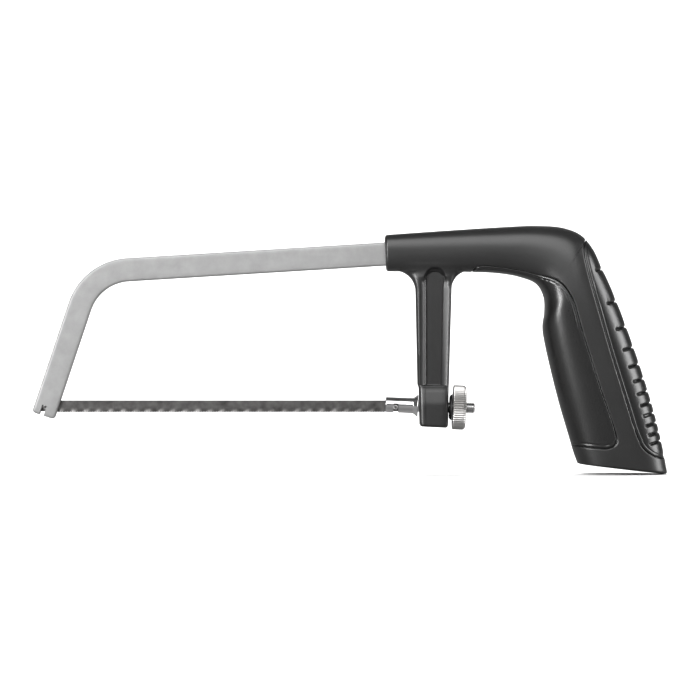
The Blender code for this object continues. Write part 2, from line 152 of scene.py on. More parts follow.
def tidy(thing: bpy.types.Object, sharp: float, merge: float = 0.0) -> None:
    """Points an object's faces out and shades it smooth.

    Args:
        thing: The object.
        sharp: The angle in degrees past which an edge is shaded sharp.
        merge: Points closer than this, in millimetres, become one. Zero leaves them.
    """
    shape = bmesh.new()
    shape.from_mesh(thing.data)
    if merge:
        bmesh.ops.remove_doubles(shape, verts=shape.verts, dist=merge * MM)
        bmesh.ops.dissolve_degenerate(shape, dist=merge * MM, edges=shape.edges)
    bmesh.ops.recalc_face_normals(shape, faces=shape.faces)
    shape.to_mesh(thing.data)
    shape.free()
    thing.data.shade_smooth()
    thing.data.set_sharp_from_angle(angle=math.radians(sharp))


def band(first: int, second: int, around: int) -> list[tuple[int, int, int, int]]:
    """The faces between two rings of points.

    Args:
        first: The number of one ring's first point.
        second: The number of the other ring's first point.
        around: How many points each ring has.

    Returns:
        The point numbers of each face.
    """
    following = [(c + 1) % around for c in range(around)]
    return [(first + c, first + n, second + n, second + c) for c, n in enumerate(following)]


def skin(name: str, rings: np.ndarray, sharp: float = 40.0) -> bpy.types.Object:
    """A solid through closed rings of points, with a face over each end.

    Args:
        name: The object's name.
        rings: An array of rings, points and coordinates.
        sharp: The angle in degrees past which an edge is shaded sharp.

    Returns:
        The object.
    """
    rings = np.asarray(rings, dtype=float)
    count, around = rings.shape[:2]
    last = (count - 1) * around
    faces = [face for r in range(count - 1) for face in band(r * around, (r + 1) * around, around)]
    faces += [tuple(range(around)), tuple(last + c for c in range(around))]
    return new_object(name, rings.reshape(-1, 3), faces, sharp)


def turned(name: str, profile: list, around: int, sharp: float = 30.0) -> bpy.types.Object:
    """A solid turned about X.

    Args:
        name: The object's name.
        profile: Pairs of length and radius. One that starts and ends off the axis closes into a ring.
        around: How many points each ring has.
        sharp: The angle in degrees past which an edge is shaded sharp.

    Returns:
        The object.
    """
    angles = np.arange(around) * TURN / around
    circle = np.column_stack((np.zeros(around), np.cos(angles), np.sin(angles)))
    rings = np.array([circle * r + (x, 0.0, 0.0) for x, r in profile])
    if min(profile[0][1], profile[-1][1]) < ON_AXIS:
        return skin(name, rings, sharp)
    starts = [r * around for r in range(len(rings))]
    faces = [face for a, b in zip(starts, starts[1:] + starts[:1]) for face in band(a, b, around)]
    return new_object(name, rings.reshape(-1, 3), faces, sharp)


def eased(corners: list, radius: float, steps: int = 4) -> list:
    """A profile whose inner corners are rounded.

    Args:
        corners: Pairs of length and radius.
        radius: The rounding, less where a side is short.
        steps: How many pieces each rounding has.

    Returns:
        The profile with its corners rounded.
    """
    corners = [Vector(c) for c in corners]
    line = [corners[0]]
    for before, corner, after in zip(corners, corners[1:], corners[2:]):
        back, on = before - corner, after - corner
        reach = min(radius, back.length * 0.45, on.length * 0.45)
        start, end = corner + back.normalized() * reach, corner + on.normalized() * reach
        for k in range(steps + 1):
            t = k / steps
            line.append(start * (1 - t) ** 2 + corner * 2 * t * (1 - t) + end * t * t)
    line.append(corners[-1])
    return [tuple(p) for p in line]


def lengthened(profile: list, start: float, end: float, step: float) -> list:
    """A profile with extra points between two lengths, so that a relief has something to move.

    Args:
        profile: Pairs of length and radius.
        start: The length where the extra points start.
        end: The length where they end.
        step: How far apart they are.

    Returns:
        The profile with its extra points.
    """
    slack = 0.01
    line = [profile[0]]
    for (x0, r0), (x1, r1) in zip(profile, profile[1:]):
        inside = start - slack <= min(x0, x1) and max(x0, x1) <= end + slack
        pieces = max(1, round(abs(x1 - x0) / step)) if inside else 1
        line += [(x0 + (x1 - x0) * k / pieces, r0 + (r1 - r0) * k / pieces) for k in range(1, pieces + 1)]
    return line


def box(name: str, middle: tuple, size: tuple, lean: float = 0.0) -> bpy.types.Object:
    """A block for cutting with.

    Args:
        name: The object's name.
        middle: Its middle.
        size: Its three sides.
        lean: How far it is turned about Y, in radians.

    Returns:
        The object.
    """
    corners = [(x, y, z) for x in (-0.5, 0.5) for y in (-0.5, 0.5) for z in (-0.5, 0.5)]
    turn = Matrix.Rotation(lean, 3, "Y")
    points = [Vector(middle) + turn @ Vector([c * s for c, s in zip(corner, size)]) for corner in corners]
    faces = [(0, 1, 3, 2), (4, 6, 7, 5), (0, 4, 5, 1), (2, 3, 7, 6), (0, 2, 6, 4), (1, 5, 7, 3)]
    return new_object(name, np.array(points), faces)


def plain_mesh(thing: bpy.types.Object) -> bpy.types.Object:
    """Turns what an object's modifiers make into its own mesh, and removes them.

    Args:
        thing: The object.

    Returns:
        The same object.
    """
    graph = bpy.context.evaluated_depsgraph_get()
    mesh = bpy.data.meshes.new_from_object(thing.evaluated_get(graph))
    thing.modifiers.clear()
    old, thing.data = thing.data, mesh
    mesh.name = thing.name
    bpy.data.meshes.remove(old)
    return thing


def combine(thing: bpy.types.Object, tool: bpy.types.Object, cut: Cut) -> bpy.types.Object:
    """Adds a solid to another or takes it away, and removes the tool.

    Args:
        thing: The solid that stays.
        tool: The solid that is added or taken away.
        cut: Which of the two happens.

    Returns:
        The solid that stays.
    """
    modifier = thing.modifiers.new("cut", "BOOLEAN")
    modifier.operation = cut.value
    modifier.solver = "EXACT"
    modifier.object = tool
    plain_mesh(thing)
    old = tool.data
    bpy.data.objects.remove(tool)
    bpy.data.meshes.remove(old)
    return thing


def moved(thing: bpy.types.Object, place: Matrix) -> bpy.types.Object:
    """Carries an object's mesh to a place, so that the object itself stays at the origin.

    Args:
        thing: The object.
        place: The turn and shift, in millimetres.

    Returns:
        The same object.
    """
    metres = place.copy()
    metres.translation = place.translation * MM
    thing.data.transform(metres)
    return thing


# ---------------------------------------------------------------- node trees that make what repeats


@dataclass
class NodeDesk:
    """Adds nodes to a tree and wires them.

    Attributes:
        tree: The node tree.
    """

    tree: bpy.types.NodeTree

    def add(self, kind: str, values: dict | None = None, **settings: object) -> bpy.types.Node:
        """A new node.

        Args:
            kind: The node's type.
            values: What goes into its inputs, by name or number: an output socket or a plain value.
            **settings: The node's own settings.

        Returns:
            The node.
        """
        node = self.tree.nodes.new(kind)
        for name, setting in settings.items():
            setattr(node, name, setting)
        for name, value in (values or {}).items():
            if isinstance(value, bpy.types.NodeSocket):
                self.tree.links.new(value, node.inputs[name])
            else:
                node.inputs[name].default_value = value
        return node

    def math(self, operation: str, *values: object) -> bpy.types.NodeSocket:
        """The result of a sum on up to three values."""
        kind = "ShaderNodeMath"
        return self.add(kind, dict(enumerate(values)), operation=operation).outputs[0]

    def remap(self, value: object, low: object, high: object, to: tuple = (0, 1)) -> bpy.types.NodeSocket:
        """A value carried from one range to another, and held at both ends."""
        spans = {"From Min": low, "From Max": high, "To Min": to[0], "To Max": to[1]}
        return self.add("ShaderNodeMapRange", {"Value": value, **spans}).outputs[0]

    def ends(self) -> tuple[bpy.types.Node, bpy.types.Node]:
        """The tree's input and output nodes."""
        return self.add("NodeGroupInput"), self.add("NodeGroupOutput")

    def send(self, made: bpy.types.Node, given: bpy.types.Node, result: bpy.types.Node) -> None:
        """Sends out what a geometry tree made, as plain geometry in the given material.

        Args:
            made: The node that made it.
            given: The tree's input node.
            result: The tree's output node.
        """
        real = self.add("GeometryNodeRealizeInstances", {0: made.outputs[0]})
        values = {0: real.outputs[0], "Material": given.outputs["Material"]}
        dressed = self.add("GeometryNodeSetMaterial", values)
        self.tree.links.new(dressed.outputs[0], result.inputs[0])


def geometry_tree(name: str, inputs: dict[str, str]) -> bpy.types.NodeTree:
    """An empty geometry tree.

    Args:
        name: The tree's name.
        inputs: The kind of each named input after the geometry.

    Returns:
        The tree, with its sockets made.
    """
    tree = bpy.data.node_groups.new(name, "GeometryNodeTree")
    tree.interface.new_socket("Geometry", in_out="INPUT", socket_type="NodeSocketGeometry")
    tree.interface.new_socket("Geometry", in_out="OUTPUT", socket_type="NodeSocketGeometry")
    for label, kind in inputs.items():
        tree.interface.new_socket(label, in_out="INPUT", socket_type=kind)
    return tree


def run_tree(thing: bpy.types.Object, tree: bpy.types.NodeTree, values: dict) -> bpy.types.Object:
    """Runs a geometry tree on an object and keeps the result as its plain mesh.

    Args:
        thing: The object.
        tree: The tree.
        values: What goes into the tree's named inputs.

    Returns:
        The object.
    """
    modifier = thing.modifiers.new(tree.name, "NODES")
    modifier.node_group = tree
    sockets = {item.name: item.identifier for item in tree.interface.items_tree if item.in_out == "INPUT"}
    for label, value in values.items():
        modifier[sockets[label]] = value
    return plain_mesh(thing)


def relief_tree() -> bpy.types.NodeTree:
    """The tree that cuts ridges into a piece turned about X: a knurl, or a thread where it winds.

    Returns:
        The tree. Its inputs are Ridges, Winding in turns for each metre, Depth, Start and End along X, Rim,
        the least radius that is cut, and Material.
    """
    kinds = {label: "NodeSocketFloat" for label in ("Ridges", "Winding", "Depth", "Start", "End", "Rim")}
    tree = geometry_tree("turned_relief", kinds | {"Material": "NodeSocketMaterial"})
    desk = NodeDesk(tree)
    given, result = desk.ends()
    inputs = given.outputs
    place = desk.add("GeometryNodeInputPosition").outputs[0]
    x, y, z = desk.add("ShaderNodeSeparateXYZ", {0: place}).outputs
    around = desk.math("MULTIPLY", desk.math("ARCTAN2", z, y), inputs["Ridges"])
    along = desk.math("MULTIPLY", desk.math("MULTIPLY", x, inputs["Winding"]), TURN)
    wave = desk.math("COSINE", desk.math("ADD", around, along))
    low = desk.math("MULTIPLY_ADD", wave, 0.5, -0.5)
    radial = desk.add("ShaderNodeCombineXYZ", {"X": 0.0, "Y": y, "Z": z}).outputs[0]
    radius = desk.add("ShaderNodeVectorMath", {0: radial}, operation="LENGTH").outputs["Value"]
    outward = desk.add("ShaderNodeVectorMath", {0: radial}, operation="NORMALIZE").outputs[0]
    margin = 0.2 * MM
    mask = 1.0
    for value, limit, side in ((x, "Start", "ADD"), (x, "End", "SUBTRACT"), (radius, "Rim", "ADD")):
        fade = desk.remap(value, inputs[limit], desk.math(side, inputs[limit], margin))
        mask = desk.math("MULTIPLY", mask, fade)
    push = desk.math("MULTIPLY", desk.math("MULTIPLY", low, mask), inputs["Depth"])
    offset = desk.add("ShaderNodeVectorMath", {0: outward, "Scale": push}, operation="SCALE").outputs[0]
    cut = desk.add("GeometryNodeSetPosition", {"Geometry": inputs["Geometry"], "Offset": offset})
    desk.send(cut, given, result)
    return tree


def tooth_tree() -> bpy.types.NodeTree:
    """The tree that repeats a tooth along a blade.

    Returns:
        The tree. Its inputs are Tooth, Count, First, the first tooth's place, Pitch and Material.
    """
    kinds = {
        "Tooth": "NodeSocketObject",
        "Count": "NodeSocketInt",
        "First": "NodeSocketVector",
        "Pitch": "NodeSocketFloat",
        "Material": "NodeSocketMaterial",
    }
    tree = geometry_tree("tooth_row", kinds)
    desk = NodeDesk(tree)
    given, result = desk.ends()
    inputs = given.outputs
    step = desk.add("ShaderNodeCombineXYZ", {"X": inputs["Pitch"], "Y": 0.0, "Z": 0.0}).outputs[0]
    row = {"Count": inputs["Count"], "Start Location": inputs["First"], "Offset": step}
    line = desk.add("GeometryNodeMeshLine", row).outputs[0]
    tooth = desk.add("GeometryNodeObjectInfo", {"Object": inputs["Tooth"]}).outputs["Geometry"]
    teeth = desk.add("GeometryNodeInstanceOnPoints", {"Points": line, "Instance": tooth})
    desk.send(teeth, given, result)
    return tree


# ---------------------------------------------------------------- finishes


@dataclass(frozen=True)
class Finish:
    """A surface: its colour and gloss, how both vary over it, and its fine grain.

    Attributes:
        slot: The record's material slot.
        dark: The colour where it is darkest, linear.
        light: The colour where it is lightest.
        gloss: The least and the greatest roughness.
        metallic: 1 for bare metal.
        patch: The size of the colour's patches, in millimetres.
        stretch: How much longer the grain is along X than across it.
        grain: The size of the fine bumps, in millimetres.
        relief: The bumps' strength, from 0 to 1.
        height: The bumps' height, in millimetres.
        specular: The strength of the plastic's or paint's shine.
        coat: The strength of a clear layer.
    """

    slot: str
    dark: tuple[float, float, float]
    light: tuple[float, float, float]
    gloss: tuple[float, float]
    metallic: float = 0.0
    patch: float = 12.0
    stretch: float = 1.0
    grain: float = 0.5
    relief: float = 0.2
    height: float = 0.03
    specular: float = 0.5
    coat: float = 0.0

    def material(self) -> bpy.types.Material:
        """The finish as a node material on Object coordinates.

        Returns:
            The material.
        """
        material = bpy.data.materials.new(self.slot)
        material.use_nodes = True
        material.node_tree.nodes.clear()
        desk = NodeDesk(material.node_tree)
        place = desk.add("ShaderNodeTexCoord").outputs["Object"]
        squeeze = (1 / self.stretch, 1.0, 1.0)
        grained = desk.add("ShaderNodeMapping", {"Vector": place, "Scale": squeeze}).outputs[0]
        low, high = 0.3, 0.7
        patches = desk.remap(self.noise(desk, place, self.patch, 5.0, 0.6), low, high)
        fine = self.noise(desk, grained, self.grain, 3.0, 0.55)
        colours = {0: patches, 6: (*self.dark, 1.0), 7: (*self.light, 1.0)}
        bumps = {"Height": fine, "Strength": self.relief, "Distance": self.height * MM}
        values = {
            "Base Color": desk.add("ShaderNodeMix", colours, data_type="RGBA").outputs[2],
            "Roughness": desk.remap(fine, low, high, self.gloss),
            "Normal": desk.add("ShaderNodeBump", bumps).outputs[0],
            "Metallic": self.metallic,
            "Specular IOR Level": self.specular,
            "Coat Weight": self.coat,
            "Coat Roughness": 0.15,
        }
        shader = desk.add("ShaderNodeBsdfPrincipled", values)
        desk.add("ShaderNodeOutputMaterial", {"Surface": shader.outputs[0]})
        return material

    def noise(
        self, desk: NodeDesk, place: bpy.types.NodeSocket, size: float, detail: float, roughness: float
    ) -> bpy.types.NodeSocket:
        """A noise whose features have a size in millimetres."""
        values = {"Vector": place, "Scale": 1 / (size * MM), "Detail": detail, "Roughness": roughness}
        return desk.add("ShaderNodeTexNoise", values).outputs[0]


def grey(value: float, warm: float = 0.0) -> tuple[float, float, float]:
    """A linear grey, a little warmer where asked."""
    return value * (1 + warm), value, value * (1 - warm)


BOW_PAINT = Finish(
    "bow_paint",
    grey(0.3),
    grey(0.36),
    gloss=(0.34, 0.5),
    metallic=0.3,
    patch=5.0,
    grain=0.45,
    relief=0.35,
    coat=0.1,
)
HANDLE_BLACK = Finish(
    "handle_black",
    grey(0.008),
    grey(0.011),
    gloss=(0.33, 0.41),
    patch=14.0,
    grain=0.35,
    relief=0.3,
    height=0.02,
    specular=0.75,
)
INSERT_BLACK = Finish(
    "insert_black",
    grey(0.005),
    grey(0.007),
    gloss=(0.27, 0.33),
    patch=9.0,
    grain=0.3,
    relief=0.35,
    height=0.02,
    specular=0.7,
)
BLADE_STEEL = Finish(
    "blade_steel",
    grey(0.065, 0.03),
    grey(0.17, 0.02),
    gloss=(0.3, 0.46),
    metallic=0.75,
    patch=4.0,
    stretch=9.0,
    grain=0.25,
    relief=0.45,
    height=0.02,
)
ROD_CHROME = Finish(
    "rod_chrome",
    grey(0.66),
    grey(0.74),
    gloss=(0.1, 0.2),
    metallic=1.0,
    patch=3.0,
    grain=0.25,
    relief=0.1,
    height=0.01,
)
WASHER_BLACK = Finish(
    "washer_black",
    grey(0.018),
    grey(0.024),
    gloss=(0.4, 0.55),
    patch=4.0,
    grain=0.3,
    height=0.01,
    specular=0.4,
)
NUT_NICKEL = Finish(
    "nut_nickel",
    grey(0.46, 0.02),
    grey(0.54, 0.02),
    gloss=(0.3, 0.42),
    metallic=1.0,
    patch=3.0,
    grain=0.3,
    relief=0.12,
    height=0.01,
)


@dataclass
class Workshop:
    """Makes each finish once, and puts each piece on its body in place of its CAD node.

    Attributes:
        materials: The node materials made so far, by slot.
    """

    materials: dict[str, bpy.types.Material] = field(default_factory=dict)

    def material(self, finish: Finish) -> bpy.types.Material:
        """The finish's material, made when first asked for."""
        if finish.slot not in self.materials:
            self.materials[finish.slot] = finish.material()
        return self.materials[finish.slot]

    def deliver(self, piece: bpy.types.Object, finish: Finish, body: Body, node: str) -> None:
        """Dresses a piece and puts it in the place of a CAD node.

        Args:
            piece: The piece.
            finish: Its finish.
            body: The body it moves with.
            node: The CAD node it stands for.
        """
        piece.data.materials.clear()
        piece.data.materials.append(self.material(finish))
        for polygon in piece.data.polygons:
            polygon.material_index = 0
        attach(piece, body.value)
        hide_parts(node)
        triangles = sum(len(p.vertices) - 2 for p in piece.data.polygons)
        log.info("%s: %d triangles, rides on %s", piece.name, triangles, body.value)


# ---------------------------------------------------------------- the bow


@dataclass
class BowFrame:
    """The flat bar that is bent into the bow.

    Attributes:
        width: The bar's width, in the bow's plane.
        thickness: Its thickness across the saw.
        edge: The radius of its long edges.
        slope: The back's rise towards the grip, in degrees.
        lean: The free leg's lean from upright, in degrees.
        bend: The radius of the bend, at the bar's middle.
        corner: Where the middle lines of back and leg meet, X and Z.
        leg: The leg's length from that corner.
        tang: The X of the end inside the handle.
        slit: The width of the slit that the blade lies in.
        slit_depth: How far the slit runs up the leg.
        notch: The width of the notch that holds the front pin.
        notch_depth: How far the notch runs up the leg.
        pin_gap: The gap between the front pin and the notch's wall.
        free_corner: The radius of the corners at the leg's free end.
    """

    width: float = 10.0
    thickness: float = 5.0
    edge: float = 1.0
    slope: float = 3.5
    lean: float = 18.5
    bend: float = 23.0
    corner: tuple[float, float] = (-110.6, 33.15)
    leg: float = 64.7
    tang: float = 58.0
    slit: float = 1.2
    slit_depth: float = 11.5
    notch: float = 2.0
    notch_depth: float = 4.4
    pin_gap: float = 0.2
    free_corner: float = 1.4

    def directions(self) -> tuple[np.ndarray, np.ndarray]:
        """The back's direction from the corner towards the grip, and the leg's towards its free end."""
        slope, lean = math.radians(self.slope), math.radians(self.lean)
        return np.array((math.cos(slope), math.sin(slope))), np.array((-math.sin(lean), -math.cos(lean)))

    def path(self) -> list[tuple[np.ndarray, np.ndarray, float]]:
        """The bar's middle line, from the leg's free end to the end inside the handle.

        Returns:
            Places, outward directions, and how far each section is drawn in.
        """
        run, leg = self.directions()
        corner = np.array(self.corner)
        turn = math.acos(-float(run @ leg))
        tangent = self.bend * math.tan(turn / 2)
        bisector = (run + leg) / np.linalg.norm(run + leg)
        centre = corner + bisector * math.hypot(self.bend, tangent)
        start = corner + leg * tangent - centre
        outward = start / np.linalg.norm(start)
        ease = self.free_corner
        end_rings, leg_rings, bend_rings, back_rings = 6, 26, 48, 90
        stops = []
        for k in range(end_rings + 1):
            angle = math.pi / 2 * k / end_rings
            at = self.leg - ease * (1 - math.cos(angle))
            stops.append((corner + leg * at, outward, ease * (1 - math.sin(angle))))
        for at in np.linspace(self.leg - 2 * ease, tangent, leg_rings):
            stops.append((corner + leg * at, outward, 0.0))
        for k in range(1, bend_rings + 1):
            angle = turn * k / bend_rings
            c, s = math.cos(angle), math.sin(angle)
            away = np.array((outward[0] * c + outward[1] * s, outward[1] * c - outward[0] * s))
            stops.append((centre + away * self.bend, away, 0.0))
        last, top, _ = stops[-1]
        for x in np.linspace(last[0], self.tang, back_rings)[1:]:
            stops.append((corner + run * ((x - corner[0]) / run[0]), top, 0.0))
        return stops

    def section(self, drawn: float) -> list[tuple[float, float]]:
        """The bar's rounded section.

        Args:
            drawn: How far its width is drawn in, and twice how far its thickness is.

        Returns:
            Pairs of places across the bar's width and its thickness.
        """
        half_w, half_t = self.width / 2 - drawn, self.thickness / 2 - drawn * 0.5
        r = min(self.edge, half_t * 0.9)
        steps = 6
        points = []
        for quarter, (side_w, side_t) in enumerate(((1, 1), (-1, 1), (-1, -1), (1, -1))):
            middle_w, middle_t = side_w * (half_w - r), side_t * (half_t - r)
            for k in range(steps + 1):
                angle = math.pi / 2 * (quarter + k / steps)
                points.append((middle_w + r * math.cos(angle), middle_t + r * math.sin(angle)))
            if quarter in (0, 2):
                flats = np.linspace(points[-1][0], -points[-1][0], steps + 1)[1:-1]
                points += [(float(w), points[-1][1]) for w in flats]
        return points

    def build(self, shop: Workshop, front_pin: tuple[float, float], pin_radius: float) -> None:
        """Makes the bow.

        Args:
            shop: Where the finish comes from.
            front_pin: The X and Z of the blade's front pin.
            pin_radius: That pin's radius.
        """
        rings = []
        for place, outward, drawn in self.path():
            sides = [(place + outward * w, t) for w, t in self.section(drawn)]
            rings.append([(x, t, z) for (x, z), t in sides])
        bow = skin("bow_bar", np.array(rings), 35.0)
        lean = math.radians(self.lean)
        _, leg = self.directions()
        across = np.array((math.cos(lean), -math.sin(lean)))
        free_end = np.array(self.corner) + leg * self.leg
        middle = free_end - leg * (self.slit_depth - PASSING) / 2
        size = (self.width + 2 * PASSING, self.slit, self.slit_depth + PASSING)
        combine(bow, box("slit", (middle[0], 0.0, middle[1]), size, lean), Cut.TAKE)
        pin_at = float((np.array(front_pin) - free_end) @ across)
        line = pin_at - (self.notch / 2 - pin_radius - self.pin_gap)
        middle = free_end + across * line - leg * (self.notch_depth - PASSING) / 2
        size = (self.notch, self.thickness + 2 * PASSING, self.notch_depth + PASSING)
        combine(bow, box("notch", (middle[0], 0.0, middle[1]), size, lean), Cut.TAKE)
        tidy(bow, 35.0, 0.001)
        shop.deliver(bow, BOW_PAINT, Body.FIXED, "frame_bow")


# ---------------------------------------------------------------- the blade


@dataclass
class SawBlade:
    """The toothed strip and its two pins.

    Attributes:
        top: The Z of the strip's back.
        tips: The Z of the tooth tips.
        thickness: The strip's thickness.
        end: How far the strip runs past each pin.
        pitch: The distance between teeth.
        depth: A tooth's height.
        count: The number of teeth.
        first: The distance from the front pin to the first tooth.
        rake: Where a tooth's tip stands over its pitch, from 0 to 1.
        swing: How far the wavy set carries the tips to either side.
        wave: How many teeth one wave of the set takes.
        pin_z: The Z of both pins.
        front_x: The X of the front pin.
        rear_x: The X of the rear pin.
        pin_radius: The pins' radius.
        pin_length: Their length across the saw.
        pin_play: How much wider than a pin its hole is, in radius.
        corner: How far the strip's corners are cut off.
    """

    top: float = -21.7
    tips: float = -27.0
    thickness: float = 0.65
    end: float = 2.8
    pitch: float = 25.4 / 24
    depth: float = 0.64
    count: int = 134
    first: float = 3.6
    rake: float = 0.2
    swing: float = 0.42
    wave: float = 5.0
    pin_z: float = -24.6
    front_x: float = -130.6
    rear_x: float = 19.4
    pin_radius: float = 0.7
    pin_length: float = 4.4
    pin_play: float = 0.12
    corner: float = 0.8

    def cross_axis(self, x: float) -> Matrix:
        """The turn and shift that carry a piece from the X axis to a pin's axis."""
        return Matrix.Translation((x, 0.0, self.pin_z)) @ Matrix.Rotation(math.radians(90), 4, "Z")

    def strip(self) -> bpy.types.Object:
        """The strip without its teeth, with small cut corners.

        Returns:
            The strip.
        """
        half = self.thickness / 2
        root = self.tips + self.depth
        cut, ease = self.corner, 0.07
        left, right = self.front_x - self.end, self.rear_x + self.end
        steps = round((right - left - 2 * cut) / (self.pitch / 2))
        stops = [(left, cut), (left + cut, 0.0)]
        stops += [(x, 0.0) for x in np.linspace(left + cut, right - cut, steps)[1:]]
        stops.append((right, cut))
        rings = []
        for x, drawn in stops:
            low, high = root + drawn, self.top - drawn
            heights = spread(low + ease, high - ease, 9, 0.5, 0.0)
            front = [(x, -half + ease, low), *((x, -half, z) for z in heights), (x, -half + ease, high)]
            rings.append(front + [(x, -y, z) for x, y, z in reversed(front)])
        return skin("blade_strip", np.array(rings), 35.0)

    def tooth(self) -> bpy.types.Object:
        """One tooth at the origin: its root on Z = 0 and a little stock above, to grow into the strip.

        Returns:
            The tooth.
        """
        half = self.thickness / 2 - 0.01
        stock, slack = 0.25, 0.015
        tip = self.rake * self.pitch
        outline = [
            (slack, stock),
            (slack, 0.0),
            (tip - 0.04, -self.depth * 0.93),
            (tip + 0.03, -self.depth),
            (tip + 0.16, -self.depth * 0.96),
            (tip + 0.5, -self.depth * 0.66),
            (self.pitch - slack, 0.0),
            (self.pitch - slack, stock),
        ]
        rings = [[(x, y, z) for x, z in outline] for y in (-half, half)]
        return skin("tooth", np.array(rings), 30.0)

    def set_teeth(self, blade: bpy.types.Object) -> None:
        """Bends the toothed edge from side to side in a wave.

        Args:
            blade: The toothed strip.
        """
        points = blade.data.vertices
        values = np.empty(len(points) * 3)
        points.foreach_get("co", values)
        values = values.reshape(-1, 3) / MM
        x, z = values[:, 0], values[:, 2]
        reach = smooth_step(-z, -(self.tips + self.depth + 1.2), -self.tips)
        start = self.front_x + self.first
        end = start + self.count * self.pitch
        ramp = 3
        inside = smooth_step(x, start, start + ramp) * smooth_step(-x, -end, ramp - end)
        phase = TURN * (x - start) / (self.wave * self.pitch)
        values[:, 1] += self.swing * np.sin(phase) * reach * inside
        points.foreach_set("co", (values * MM).ravel())
        blade.data.update()

    def pin(self, name: str, x: float) -> bpy.types.Object:
        """One cross pin with rounded ends.

        Args:
            name: The piece's name.
            x: Where it stands.

        Returns:
            The pin.
        """
        half, r = self.pin_length / 2, self.pin_radius
        profile = eased([(-half, 0.05), (-half, r), (half, r), (half, 0.05)], 0.25, 5)
        return moved(turned(name, profile, 40), self.cross_axis(x))

    def build(self, shop: Workshop) -> None:
        """Makes the blade and its pins.

        Args:
            shop: Where the finish comes from.
        """
        root = self.tips + self.depth
        blade = self.strip()
        row = new_object("row", np.array([(0, 0, 0), (1, 0, 0), (0, 0, 1)]), [(0, 1, 2)])
        tooth = self.tooth()
        values = {
            "Tooth": tooth,
            "Count": self.count,
            "First": ((self.front_x + self.first) * MM, 0.0, root * MM),
            "Pitch": self.pitch * MM,
            "Material": shop.material(BLADE_STEEL),
        }
        run_tree(row, tooth_tree(), values)
        bpy.data.objects.remove(tooth)
        combine(blade, row, Cut.ADD)
        reach, bore = 2 * PASSING, self.pin_radius + self.pin_play
        for x in (self.front_x, self.rear_x):
            hole = turned("hole", [(-reach, 0.01), (-reach, bore), (reach, bore), (reach, 0.01)], 32)
            combine(blade, moved(hole, self.cross_axis(x)), Cut.TAKE)
        tidy(blade, 35.0, 0.001)
        self.set_teeth(blade)
        blade.name = "blade_strip"
        shop.deliver(blade, BLADE_STEEL, Body.BLADE, "saw_blade")
        shop.deliver(self.pin("pin_front", self.front_x), BLADE_STEEL, Body.BLADE, "blade_pin_front")
        shop.deliver(self.pin("pin_rear", self.rear_x), BLADE_STEEL, Body.BLADE, "blade_pin_rear")


# ---------------------------------------------------------------- the tensioning screw


